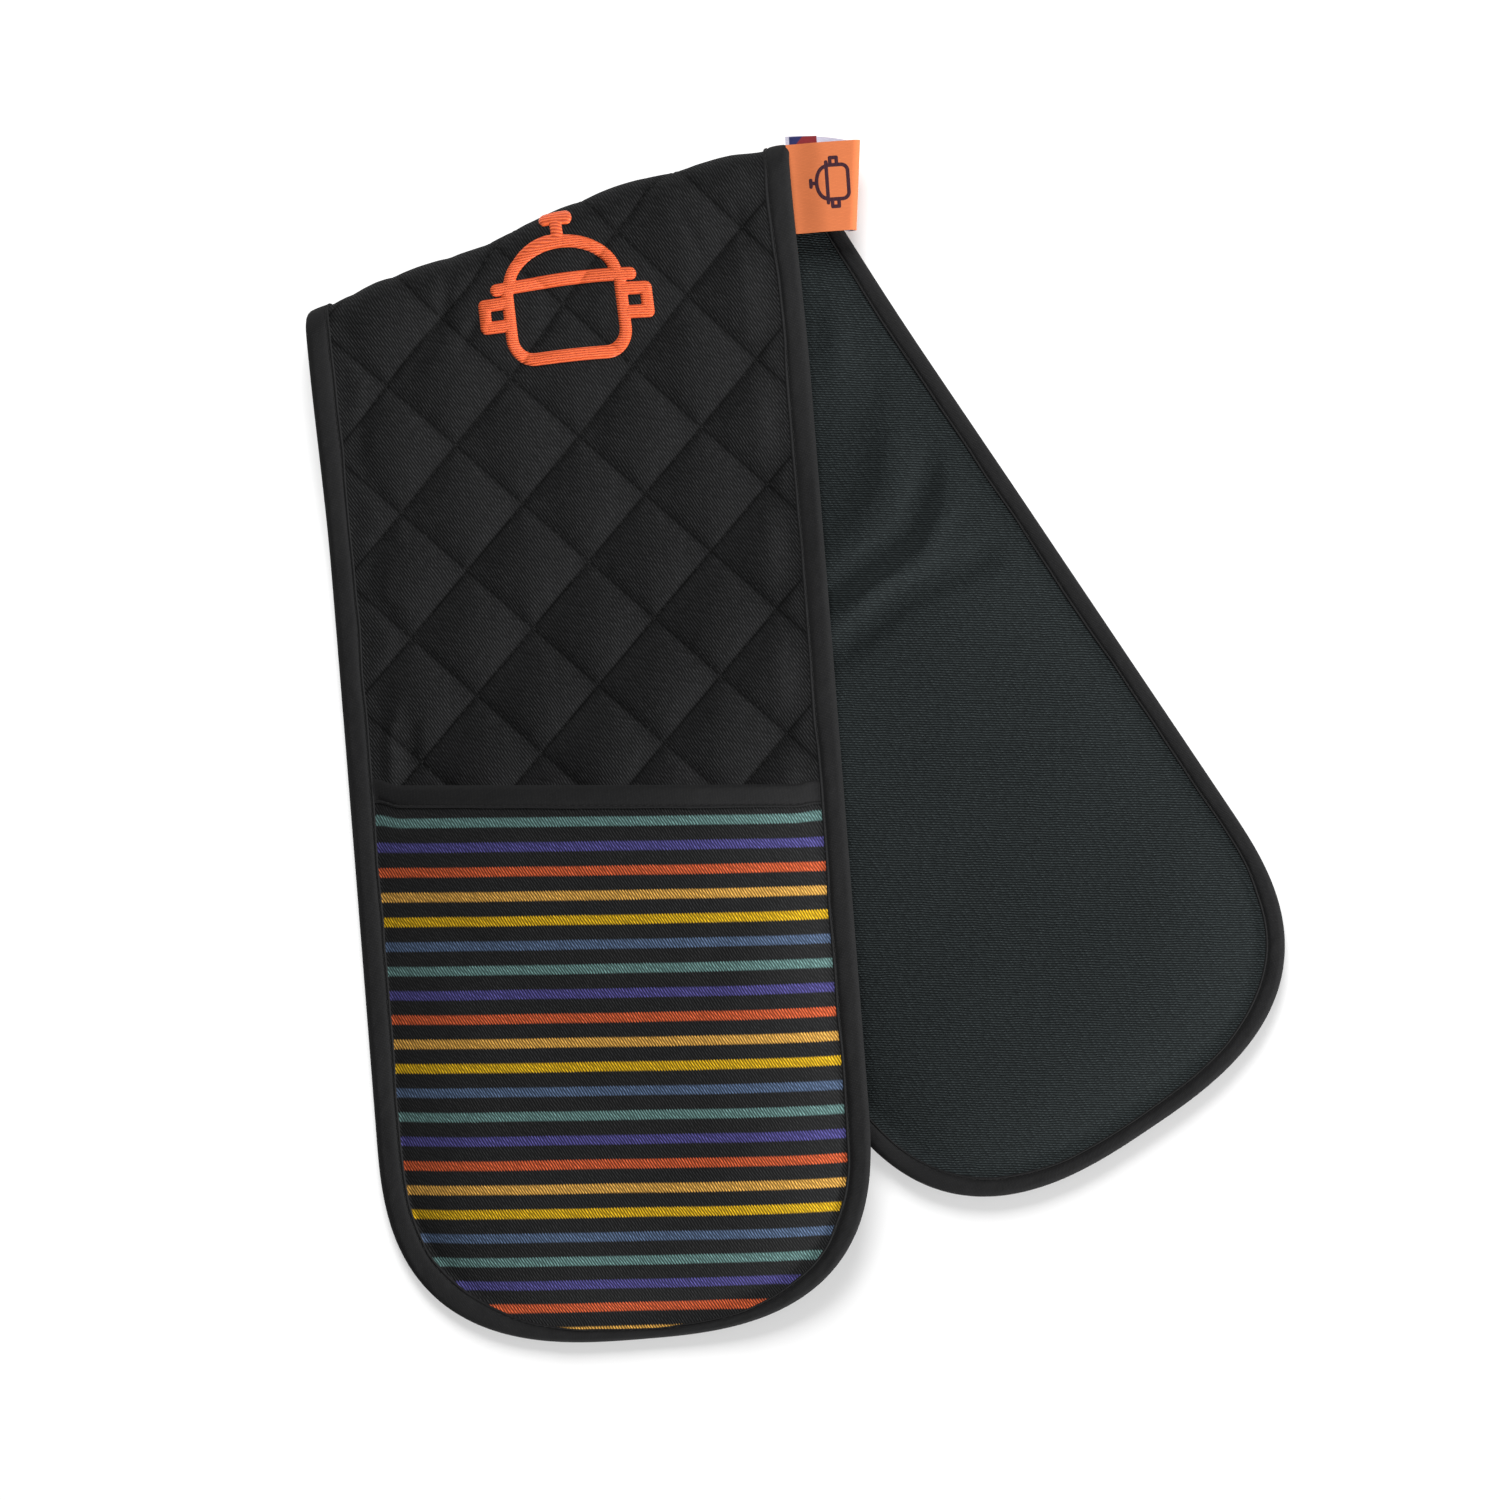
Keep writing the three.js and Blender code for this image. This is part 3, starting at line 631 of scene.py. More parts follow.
@dataclass(frozen=True)
class Lattices:
    """Rows and columns of flat points for the panels and paths along their edges."""

    pattern: Pattern
    lay: Lay

    def straight_rows(self, keys: list, spacing: float) -> np.ndarray:
        """Rows between key lines across the strip.

        Args:
            keys: Lines as ("s" on the centre line, slope), each kept as a row.
            spacing: The rows' distance on the centre line.

        Returns:
            One (s, slope) pair for each row.
        """
        rows = [np.array([keys[0]])]
        for start, end in zip(keys, keys[1:]):
            count = max(1, round(abs(end[0] - start[0]) / spacing))
            share = np.arange(1, count + 1)[:, None] / count
            rows.append(mix(np.array(start)[None], np.array(end)[None], share))
        return np.concatenate(rows)

    def toe_rows(self, side: Side, b: np.ndarray, inset: float, spacing: float) -> tuple:
        """Rows from the start of a toe to its rounded end.

        Args:
            side: The leg.
            b: The columns' places across the strip.
            inset: How far inside the cut edge the panel ends.
            spacing: The rows' distance on the centre line.

        Returns:
            The rows' s and b, from the leg to the toe's end.
        """
        cut = self.pattern
        start = cut.toe_start(side) - side.value * cut.toe_lead
        angle = b / (cut.half_width - inset) * math.pi / 2
        end_s, end_b = cut.toe_point(side, angle, inset)
        count = round((cut.toe_depth + cut.toe_lead) / spacing)
        share = np.arange(1, count + 1)[:, None] / count
        return mix(np.full_like(b, start)[None], end_s[None], share), mix(b[None], end_b[None], share)

    def columns(self, inset: float, spacing: float) -> np.ndarray:
        """Places across the strip, with one on the centre line."""
        half = self.pattern.half_width - inset
        count = 2 * round(half / spacing)
        return np.linspace(-half, half, count + 1)

    def strip(self, inset: float, spacing: float) -> tuple[np.ndarray, np.ndarray, int]:
        """The whole strip from the back toe to the front toe.

        Args:
            inset: How far inside the cut edge the panel ends.
            spacing: Distance between points.

        Returns:
            s, b and the row where the back leg's pieces meet the front leg's.
        """
        cut, lay = self.pattern, self.lay
        b = self.columns(inset, spacing)
        back = [
            (cut.toe_start(Side.BACK) + cut.toe_lead, 0.0),
            cut.mouth(Side.BACK),
            lay.fold_row(-lay.quarter),
        ]
        front = [
            lay.fold_row(lay.quarter),
            cut.mouth(Side.FRONT),
            (cut.toe_start(Side.FRONT) - cut.toe_lead, 0.0),
        ]
        rows = self.straight_rows(back + front, spacing)
        back_toe = self.toe_rows(Side.BACK, b, inset, spacing)
        front_toe = self.toe_rows(Side.FRONT, b, inset, spacing)
        middle_s = rows[:, :1] + rows[:, 1:] * b
        middle_b = np.broadcast_to(b, middle_s.shape)
        s = np.concatenate([back_toe[0][::-1], middle_s, front_toe[0]])
        across = np.concatenate([back_toe[1][::-1], middle_b, front_toe[1]])
        split = len(back_toe[0]) + int(np.argmin(np.abs(rows[:, 0] - back[-1][0])))
        return s, across, split

    def pocket(self, side: Side, inset: float, spacing: float, setback: float) -> tuple:
        """A pocket's panel from its mouth to the toe.

        Args:
            side: The leg.
            inset: How far inside the cut edge the panel ends.
            spacing: Distance between points.
            setback: How far behind the mouth's edge the panel starts.

        Returns:
            s and b of the panel.
        """
        cut = self.pattern
        b = self.columns(inset, spacing)
        place, slope = cut.mouth(side)
        first = (place + side.value * setback, slope)
        rows = self.straight_rows([first, (cut.toe_start(side) - side.value * cut.toe_lead, 0.0)], spacing)
        toe = self.toe_rows(side, b, inset, spacing)
        s = rows[:, :1] + rows[:, 1:] * b
        return np.concatenate([s, toe[0]]), np.concatenate([np.broadcast_to(b, s.shape), toe[1]])

    def edge_path(self, side: Side, spacing: float) -> "EdgePath":
        """The path round a leg's edge, from the fold's left end by the toe to its right end."""
        cut, lay = self.pattern, self.lay
        start = lay.fold_row(-lay.quarter)
        slanted = (lay.fold_row(side.value * lay.quarter)[0] + side.value * 60 * MM, 0.0)
        toe = (cut.toe_start(side), 0.0)
        rows = self.straight_rows([start, slanted, toe], spacing)
        dense = np.linspace(-math.pi / 2, math.pi / 2, 4001)
        points = np.stack(cut.toe_point(side, dense, 0.0))
        walked = np.concatenate([[0], np.cumsum(np.hypot(*np.diff(points, axis=1)))])
        count = round(walked[-1] / spacing)
        angles = np.interp(np.linspace(0, walked[-1], count + 1)[1:-1], walked, dense)
        return EdgePath(cut, side, rows, angles)


@dataclass(frozen=True)
class EdgePath:
    """A path round a leg's cut edge, which can be set in."""

    pattern: Pattern
    side: Side
    rows: np.ndarray
    angles: np.ndarray

    def points(self, inset: np.ndarray) -> tuple[np.ndarray, np.ndarray]:
        """Flat points of the path at some distances in from the cut edge.

        Args:
            inset: Distances in, as (steps of the path or 1) rows by the result's columns.

        Returns:
            s and b, with a row for each step of the path.
        """
        cut = self.pattern
        count = len(self.rows)
        inset = np.broadcast_to(inset, (2 * count + len(self.angles), inset.shape[-1]))
        across = cut.half_width - inset
        left, round_toe, right = across[:count], across[count:-count], across[-count:]
        power = 2 / cut.toe_power
        sine = (np.sign(self.angles) * np.abs(np.sin(self.angles)) ** power)[:, None]
        ahead = (np.abs(np.cos(self.angles)) ** power)[:, None] * (cut.toe_depth - inset[count:-count])
        s = [
            self.rows[:, :1] - self.rows[:, 1:] * left,
            cut.toe_start(self.side) + self.side.value * ahead,
            self.rows[::-1, :1] + self.rows[::-1, 1:] * right,
        ]
        return np.concatenate(s), np.concatenate([-left, sine * round_toe, right])

    def walked(self) -> np.ndarray:
        """Length of the cut edge up to each step of the path."""
        s, b = self.points(np.zeros((1, 1)))
        return np.concatenate([[0], np.cumsum(np.hypot(np.diff(s[:, 0]), np.diff(b[:, 0])))])


@dataclass(frozen=True)
class Graph:
    """Short calls for building one node tree."""

    tree: bpy.types.NodeTree

    def feed(self, socket: bpy.types.NodeSocket, value: object) -> None:
        """Links another node's output to a socket, or sets its value."""
        if isinstance(value, bpy.types.NodeSocket):
            self.tree.links.new(value, socket)
        else:
            socket.default_value = value

    def node(self, kind: str, inputs: dict | None = None, **settings: object) -> bpy.types.Node:
        """Adds a node.

        Args:
            kind: The node's type.
            inputs: Values or links for its inputs, by name or number.
            settings: Its other properties.

        Returns:
            The new node.
        """
        made = self.tree.nodes.new(kind)
        for name, value in settings.items():
            setattr(made, name, value)
        for key, value in (inputs or {}).items():
            self.feed(made.inputs[key], value)
        return made

    def math(self, operation: str, *values: object) -> bpy.types.NodeSocket:
        """Adds a sum of two or three values and returns its result."""
        return self.node("ShaderNodeMath", dict(enumerate(values)), operation=operation).outputs[0]

    def wave(self, turns: object) -> bpy.types.NodeSocket:
        """A sine wave from 0 to 1, one period for each turn."""
        return self.math("MULTIPLY_ADD", self.math("SINE", self.math("MULTIPLY", turns, math.tau)), 0.5, 0.5)

    def mix(self, share: object, low: tuple, high: object, blend: str = "MIX") -> bpy.types.NodeSocket:
        """Mixes two colours by a varying share."""
        inputs = {0: share, 6: low, 7: high}
        made = self.node("ShaderNodeMix", inputs, data_type="RGBA", blend_type=blend)
        return made.outputs[2]

    def noise(self, vector: object, scale: float, detail: float = 3.0) -> bpy.types.NodeSocket:
        """Smooth noise over a vector, from 0 to 1."""
        inputs = {"Vector": vector, "Scale": scale, "Detail": detail}
        return self.node("ShaderNodeTexNoise", inputs).outputs[0]


def rgb(red: float, green: float, blue: float) -> tuple[float, float, float, float]:
    """A colour for a node socket."""
    return red, green, blue, 1.0


def new_group(name: str, inputs: dict, outputs: tuple) -> tuple[Graph, dict, bpy.types.Node]:
    """Starts a shader node group.

    Args:
        name: The group's name.
        inputs: Socket types by name.
        outputs: Names of its number outputs.

    Returns:
        The group's graph, its input sockets by name, and its output node.
    """
    tree = bpy.data.node_groups.new(name, "ShaderNodeTree")
    for key, kind in inputs.items():
        tree.interface.new_socket(key, in_out="INPUT", socket_type=kind)
    for key in outputs:
        tree.interface.new_socket(key, in_out="OUTPUT", socket_type="NodeSocketFloat")
    graph = Graph(tree)
    source = graph.node("NodeGroupInput")
    return graph, {key: source.outputs[key] for key in inputs}, graph.node("NodeGroupOutput")


def build_twill() -> bpy.types.NodeTree:
    """Slanting ribs of thread, broken into floats of one length."""
    sockets = {
        "Vector": "NodeSocketVector",
        "Pitch": "NodeSocketFloat",
        "Slant": "NodeSocketFloat",
        "Float": "NodeSocketFloat",
    }
    graph, given, out = new_group("twill_weave", sockets, ("Height",))
    parts = graph.node("ShaderNodeSeparateXYZ", {0: given["Vector"]})
    wander = graph.math("MULTIPLY", graph.math("SUBTRACT", graph.noise(given["Vector"], 140.0), 0.5), 0.0011)
    sine, cosine = graph.math("SINE", given["Slant"]), graph.math("COSINE", given["Slant"])
    across = graph.math(
        "SUBTRACT",
        graph.math("MULTIPLY", parts.outputs[1], cosine),
        graph.math("MULTIPLY", parts.outputs[0], sine),
    )
    along = graph.math(
        "ADD",
        graph.math("MULTIPLY", parts.outputs[0], cosine),
        graph.math("MULTIPLY", parts.outputs[1], sine),
    )
    rib = graph.math("DIVIDE", graph.math("ADD", across, wander), given["Pitch"])
    wave = graph.wave(rib)
    row = graph.math("MULTIPLY", graph.math("FLOOR", rib), 0.38)
    place = graph.math("ADD", graph.math("DIVIDE", along, given["Float"]), row)
    dash = graph.wave(place)
    streaks = graph.node("ShaderNodeCombineXYZ", {0: graph.math("MULTIPLY", rib, 0.55), 1: place})
    slub = graph.math("MULTIPLY_ADD", graph.noise(streaks.outputs[0], 1.0, 2.0), 3.0, -1.0)
    slub = graph.math("MINIMUM", graph.math("MAXIMUM", slub, 0.0), 1.0)
    height = graph.math("MULTIPLY", wave, graph.math("MULTIPLY_ADD", dash, 0.45, 0.55))
    height = graph.math("MULTIPLY", height, graph.math("MULTIPLY_ADD", slub, 0.7, 0.55))
    graph.feed(out.inputs["Height"], height)
    return graph.tree


def build_mottle() -> bpy.types.NodeTree:
    """Uneven dye and fuzz: broad clouds with fine grain on top."""
    sockets = {"Vector": "NodeSocketVector", "Size": "NodeSocketFloat"}
    graph, given, out = new_group("cloth_mottle", sockets, ("Mottle",))
    stretched = graph.node("ShaderNodeVectorMath", {0: given["Vector"]}, operation="SCALE")
    graph.feed(stretched.inputs[3], graph.math("DIVIDE", 1.0, given["Size"]))
    broad = graph.noise(stretched.outputs[0], 1.0, 2.0)
    fine = graph.noise(stretched.outputs[0], 23.0, 4.0)
    spots = graph.math("MULTIPLY_ADD", fine, 0.5, graph.math("MULTIPLY", broad, 0.5))
    graph.feed(out.inputs["Mottle"], spots)
    return graph.tree


def pattern_map(graph: Graph) -> bpy.types.NodeSocket:
    """The flat-pattern coordinates of a piece."""
    return graph.node("ShaderNodeUVMap", uv_map="pattern").outputs[0]


def weave_cloth(
    graph: Graph,
    finish: object,
    twill: bpy.types.NodeTree,
    mottle: bpy.types.NodeTree,
) -> tuple:
    """Adds the twill and the mottling of a woven finish.

    Args:
        graph: The material's graph.
        finish: The finish, with its pitch, slant, thread_float and mottle.
        twill: The node group of the twill.
        mottle: The node group of the mottling.

    Returns:
        The flat-pattern coordinates, the threads' height and the mottling.
    """
    place = pattern_map(graph)
    weave = graph.node("ShaderNodeGroup", node_tree=twill)
    graph.feed(weave.inputs["Vector"], place)
    graph.feed(weave.inputs["Pitch"], finish.pitch)
    graph.feed(weave.inputs["Slant"], finish.slant)
    graph.feed(weave.inputs["Float"], finish.thread_float)
    cloud = graph.node("ShaderNodeGroup", node_tree=mottle)
    graph.feed(cloud.inputs["Vector"], place)
    graph.feed(cloud.inputs["Size"], finish.mottle)
    return place, weave.outputs["Height"], cloud.outputs["Mottle"]


@dataclass(frozen=True)
class Surface:
    """Values of a finish that don't vary."""

    roughness: float = 0.9
    specular: float = 0.06
    sheen: float = 0.0
    sheen_roughness: float = 0.5
    bump: float = 0.6
    bump_depth: float = 0.25 * MM

    def shader(self, graph: Graph, colour: object, height: object) -> None:
        """Ends a material.

        Args:
            graph: The material's graph.
            colour: The varying base colour.
            height: The varying height of the threads.
        """
        inputs = {"Height": height, "Strength": self.bump, "Distance": self.bump_depth}
        raised = graph.node("ShaderNodeBump", inputs)
        values = {
            "Base Color": colour,
            "Roughness": self.roughness,
            "Specular IOR Level": self.specular,
            "Sheen Weight": self.sheen,
            "Sheen Roughness": self.sheen_roughness,
            "Normal": raised.outputs[0],
        }
        made = graph.node("ShaderNodeBsdfPrincipled", values)
        graph.node("ShaderNodeOutputMaterial", {0: made.outputs[0]})


@dataclass(frozen=True)
class Woven:
    """Plain-coloured twill, tape or ribbon."""

    name: str
    dark: tuple
    light: tuple
    surface: Surface
    pitch: float = 0.94 * MM
    slant: float = math.radians(60)
    thread_float: float = 2.4 * MM
    mottle: float = 40 * MM
    thread_share: float = 0.82
    # quilted adds painted shade along the quilting lines; core_shade and line_shade set how far it darkens
    # the core in the stitched ditch and the wide shade beside it.
    quilted: bool = False
    ditchshade_shade: float = 0.75
    line_shade: float = 0.25

    def build(self, twill: bpy.types.NodeTree, mottle: bpy.types.NodeTree) -> bpy.types.Material:
        """The material."""
        material, graph = new_material(self.name)
        place, height, cloud = weave_cloth(graph, self, twill, mottle)
        threads = graph.math("MULTIPLY", height, self.thread_share)
        share = graph.math("MULTIPLY_ADD", cloud, 1 - self.thread_share, threads)
        # Painted shade along the quilting lines darkens the cloth's colour.
        if self.quilted:
            lines = graph.node("ShaderNodeGroup", node_tree=build_quilt_lines())
            graph.feed(lines.inputs[0], place)
            core = graph.math("MULTIPLY_ADD", lines.outputs["DitchShade"], -self.ditchshade_shade, 1.0)
            shade = graph.math("MULTIPLY_ADD", lines.outputs["Shade"], -self.line_shade, 1.0)
            share = graph.math("MULTIPLY", share, graph.math("MULTIPLY", core, shade))
        colour = graph.mix(share, self.dark, self.light)
        self.surface.shader(graph, colour, height)
        return material


def build_quilt_lines() -> bpy.types.NodeTree:
    """Painted shade along the stitched lines of square diamonds on the flat pattern: a dark core in the
    stitched ditch and a wide soft shade beside it.
    """
    sockets = {"Vector": "NodeSocketVector"}
    graph, given, out = new_group("quilt_line_shade", sockets, ("DitchShade", "Shade"))
    quilting = Quilting()
    parts = graph.node("ShaderNodeSeparateXYZ", {0: given["Vector"]})
    along = graph.math("SUBTRACT", parts.outputs[1], quilting.start_s)
    along = graph.math("DIVIDE", along, 2 * quilting.step_s)
    across = graph.math("SUBTRACT", parts.outputs[0], quilting.start_b)
    across = graph.math("DIVIDE", across, 2 * quilting.step_b)
    wander = graph.math("SUBTRACT", graph.noise(given["Vector"], 900.0, 2.0), 0.5)
    wander = graph.math("MULTIPLY", wander, 0.022)
    to_line = []
    for operation in ("ADD", "SUBTRACT"):
        address = graph.math("ADD", graph.math(operation, along, across), wander)
        to_line.append(graph.math("PINGPONG", address, 0.5))
    near = graph.math("MULTIPLY", graph.math("MINIMUM", *to_line), quilting.spacing)
    # Painted shade: a narrow dark core in each stitched ditch and a wide soft shade on both sides of the
    # line.
    for name, width in (("DitchShade", 0.75 * MM), ("Shade", 3.2 * MM)):
        inputs = {0: near, 1: 0.0, 2: width}
        share = graph.node("ShaderNodeMapRange", inputs, interpolation_type="SMOOTHSTEP")
        graph.feed(share.inputs[3], 1.0)
        graph.feed(share.inputs[4], 0.0)
        graph.feed(out.inputs[name], share.outputs[0])
    return graph.tree


@dataclass(frozen=True)
class Striped:
    """Black twill with coloured stripes woven in, measured from the pocket's mouth."""

    name: str
    dark: tuple
    light: tuple
    colours: tuple
    surface: Surface
    pitch: float = 0.94 * MM
    slant: float = math.radians(60)
    thread_float: float = 2.4 * MM
    first: float = 12.7 * MM
    step: float = 9.02 * MM
    width: float = 3.4 * MM
    ragged: float = 0.42 * MM
    ragged_pitch: float = 1.05 * MM
    soft_edge: float = 0.03
    gloss: float = 0.75
    gloss_gain: float = 1.5
    gloss_lift: float = 1.16
    tilt_start: float = math.tan(math.radians(0.56))
    tilt: float = math.tan(math.radians(1.25))
    tilt_length: float = 70 * MM
    mottle: float = 40 * MM
    thread_share: float = 0.65

    def build(self, twill: bpy.types.NodeTree, mottle: bpy.types.NodeTree) -> bpy.types.Material:
        """The material."""
        material, graph = new_material(self.name)
        place, height, cloud = weave_cloth(graph, self, twill, mottle)
        parts = graph.node("ShaderNodeSeparateXYZ", {0: place})
        teeth = graph.math("PINGPONG", graph.math("DIVIDE", parts.outputs[0], self.ragged_pitch), 0.5)
        teeth = graph.math("SUBTRACT", teeth, 0.25)
        down = graph.math("MULTIPLY_ADD", teeth, 2 * self.ragged, parts.outputs[1])
        tilt = graph.node("ShaderNodeMapRange", {0: parts.outputs[1]}, interpolation_type="SMOOTHSTEP")
        for number, value in enumerate((0.0, self.tilt_length, self.tilt_start, self.tilt), start=1):
            graph.feed(tilt.inputs[number], value)
        down = graph.math("MULTIPLY_ADD", parts.outputs[0], tilt.outputs[0], down)
        stripe = graph.math("DIVIDE", graph.math("SUBTRACT", down, self.first - self.step / 2), self.step)
        off = graph.math("ABSOLUTE", graph.math("SUBTRACT", graph.math("FRACT", stripe), 0.5))
        half = self.width / self.step / 2
        edge = graph.node("ShaderNodeMapRange", {0: off, 1: half - self.soft_edge, 2: half + self.soft_edge})
        graph.feed(edge.inputs[3], 1.0)
        graph.feed(edge.inputs[4], 0.0)
        mask = graph.math("MULTIPLY", edge.outputs[0], graph.math("GREATER_THAN", stripe, 0.0))
        turn = graph.math("FRACT", graph.math("DIVIDE", graph.math("FLOOR", stripe), len(self.colours)))
        ramp = graph.node("ShaderNodeValToRGB", {0: graph.math("ADD", turn, 0.5 / len(self.colours))})
        self.fill(ramp.color_ramp)
        spots = graph.math("MULTIPLY", cloud, 1 - self.thread_share)
        share = graph.math("MULTIPLY_ADD", height, self.thread_share, spots)
        ground = graph.mix(share, self.dark, self.light)
        low = (1 - self.gloss) * self.gloss_lift
        shade = graph.math("MULTIPLY_ADD", height, self.gloss * self.gloss_gain * self.gloss_lift, low)
        tinted = graph.node("ShaderNodeVectorMath", {0: ramp.outputs[0]}, operation="SCALE")
        graph.feed(tinted.inputs[3], shade)
        self.surface.shader(graph, graph.mix(mask, ground, tinted.outputs[0]), height)
        return material

    def fill(self, ramp: bpy.types.ColorRamp) -> None:
        """Puts the stripes' colours in a ramp."""
        ramp.interpolation = "CONSTANT"
        while len(ramp.elements) < len(self.colours):
            ramp.elements.new(0.99)
        for number in range(len(self.colours)):
            ramp.elements[number].position = number / len(self.colours)
        for number, colour in enumerate(self.colours):
            ramp.elements[number].color = colour


@dataclass(frozen=True)
class Satin:
    """Shiny embroidery thread in close rows, or a single twisted thread."""

    name: str
    dark: tuple
    light: tuple
    surface: Surface
    pitch: float = 0.5 * MM
    wander: float = 0.5 * MM

    def build(self) -> bpy.types.Material:
        """The material."""
        material, graph = new_material(self.name)
        place = pattern_map(graph)
        parts = graph.node("ShaderNodeSeparateXYZ", {0: place})
        stray = graph.math("MULTIPLY", graph.noise(place, 260.0, 2.0), self.wander)
        rows = graph.math("DIVIDE", graph.math("ADD", parts.outputs[1], stray), self.pitch)
        wave = graph.wave(rows)
        share = graph.math("MULTIPLY_ADD", wave, 0.6, graph.math("MULTIPLY", graph.noise(place, 900.0), 0.4))
        self.surface.shader(graph, graph.mix(share, self.dark, self.light), wave)
        return material


@dataclass(frozen=True)
class Label:
    """Smooth label tape: a dark block with a wedge of another colour."""

    name: str
    block: tuple
    wedge: tuple
    surface: Surface
    slope: float = 0.9
    start: float = 5.0 * MM

    def build(self) -> bpy.types.Material:
        """The material."""
        material, graph = new_material(self.name)
        place = pattern_map(graph)
        parts = graph.node("ShaderNodeSeparateXYZ", {0: place})
        line = graph.math("MULTIPLY_ADD", parts.outputs[1], self.slope, parts.outputs[0])
        past = graph.math("GREATER_THAN", line, self.start)
        grain = graph.noise(place, 1500.0)
        self.surface.shader(graph, graph.mix(past, self.block, self.wedge), grain)
        return material


def new_material(name: str) -> tuple[bpy.types.Material, Graph]:
    """Makes an empty node material and returns it with its graph."""
    made = bpy.data.materials.new(f"{name}_finish")
    made.use_nodes = True
    made.node_tree.nodes.clear()
    return made, Graph(made.node_tree)


BLACK_CLOTH = Surface(sheen=0.02, sheen_roughness=0.6, bump=0.9, bump_depth=0.3 * MM)
TAPE_CLOTH = Surface(sheen=0.015, bump=0.35, bump_depth=0.12 * MM)
# The quilted face's colour has painted shade along its stitched lines.
FACE_TWILL = Woven(
    "black_twill", rgb(0.0015, 0.0015, 0.0016), rgb(0.0285, 0.0288, 0.0296), BLACK_CLOTH, quilted=True
)
BACKING_TWILL = Woven(
    "backing_twill",
    rgb(0.0018, 0.0023, 0.0024),
    rgb(0.035, 0.0435, 0.0450),
    BLACK_CLOTH,
    pitch=0.9 * MM,
    slant=math.radians(-35),
    thread_float=1.7 * MM,
)
STRIPED_TWILL = Striped(
    "striped_twill",
    rgb(0.0018, 0.0018, 0.0019),
    rgb(0.0285, 0.0290, 0.0297),
    (
        rgb(0.100, 0.185, 0.175),
        rgb(0.062, 0.055, 0.190),
        rgb(0.470, 0.085, 0.030),
        rgb(0.530, 0.285, 0.058),
        rgb(0.530, 0.320, 0.010),
        rgb(0.068, 0.102, 0.172),
    ),
    BLACK_CLOTH,
)
LINING_TWILL = Woven("lining", rgb(0.006, 0.006, 0.0062), rgb(0.018, 0.018, 0.019), BLACK_CLOTH)
WADDING_FELT = Woven(
    "wadding",
    rgb(0.45, 0.43, 0.38),
    rgb(0.62, 0.6, 0.54),
    Surface(bump=0.9, bump_depth=MM),
    pitch=3 * MM,
)
BINDING_TAPE = Woven(
    "binding_tape",
    rgb(0.0070, 0.0070, 0.0072),
    rgb(0.0240, 0.0240, 0.0246),
    TAPE_CLOTH,
    pitch=0.55 * MM,
    slant=math.radians(82),
    thread_float=1.1 * MM,
    mottle=25 * MM,
    thread_share=0.5,
)
BLACK_THREAD = Satin(
    "stitch_thread", rgb(0.004, 0.004, 0.004), rgb(0.011, 0.011, 0.011), Surface(0.6, 0.15), pitch=0.35 * MM
)
EMBLEM_THREAD = Satin(
    "embroidery_thread",
    rgb(0.36, 0.022, 0.004),
    rgb(0.98, 0.185, 0.050),
    Surface(0.5, 0.25, 0.1, 0.4, 0.9, 0.3 * MM),
    pitch=0.82 * MM,
)
LOOP_RIBBON = Woven(
    "loop_ribbon",
    rgb(0.47, 0.125, 0.045),
    rgb(0.68, 0.19, 0.062),
    Surface(0.7, 0.2, 0.0, 0.5, 0.4, 0.1 * MM),
    pitch=0.5 * MM,
    slant=math.radians(90),
    thread_float=3 * MM,
    mottle=12 * MM,
    thread_share=0.4,
)
RIBBON_INSIDE = Woven(
    "loop_ribbon_inside",
    rgb(0.36, 0.34, 0.42),
    rgb(0.52, 0.50, 0.58),
    Surface(0.7, 0.2, 0.0, 0.5, 0.4, 0.1 * MM),
    pitch=0.5 * MM,
    slant=math.radians(90),
)
LABEL_TAPE = Label("label_tape", rgb(0.012, 0.014, 0.075), rgb(0.15, 0.010, 0.014), Surface(0.6, 0.2))
PRINT_INK = Satin("loop_print", rgb(0.035, 0.010, 0.018), rgb(0.05, 0.014, 0.025), Surface(0.7, 0.2))


@dataclass
class Wardrobe:
    """The finishes as materials, built once."""

    made: dict = field(default_factory=dict)

    def build(self) -> None:
        """Builds the node groups and every material."""
        twill, mottle = build_twill(), build_mottle()
        woven = (
            FACE_TWILL,
            BACKING_TWILL,
            STRIPED_TWILL,
            LINING_TWILL,
            WADDING_FELT,
            BINDING_TAPE,
            LOOP_RIBBON,
            RIBBON_INSIDE,
        )
        for finish in woven:
            self.made[finish.name] = finish.build(twill, mottle)
        for finish in (BLACK_THREAD, EMBLEM_THREAD, LABEL_TAPE, PRINT_INK):
            self.made[finish.name] = finish.build()

    def dress(self, piece: bpy.types.Object, finish: str, slot: str, *nodes: str) -> bpy.types.Object:
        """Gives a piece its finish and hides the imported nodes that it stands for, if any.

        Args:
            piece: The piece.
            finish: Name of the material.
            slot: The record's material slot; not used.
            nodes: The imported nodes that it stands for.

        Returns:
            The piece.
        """
        piece.data.materials.append(self.made[finish])
        if nodes:
            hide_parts(*nodes)
        log.info("%s: %d vertices, %s", piece.name, len(piece.data.vertices), finish)
        return piece


def declare(chart: np.ndarray) -> None:
    """Works out the flat size and area of a sheet of cloth from its own pattern, and keeps neither.

    Args:
        chart: Its lattice of flat coordinates.
    """
    size = chart.reshape(-1, 2).max(axis=0) - chart.reshape(-1, 2).min(axis=0)
    across = chart[1:, 1:] - chart[:-1, :-1]
    other = chart[1:, :-1] - chart[:-1, 1:]
    area = np.abs(across[..., 0] * other[..., 1] - across[..., 1] * other[..., 0]).sum() / 2
    area = float(np.clip(area, 0.3 * size[0] * size[1], size[0] * size[1]))


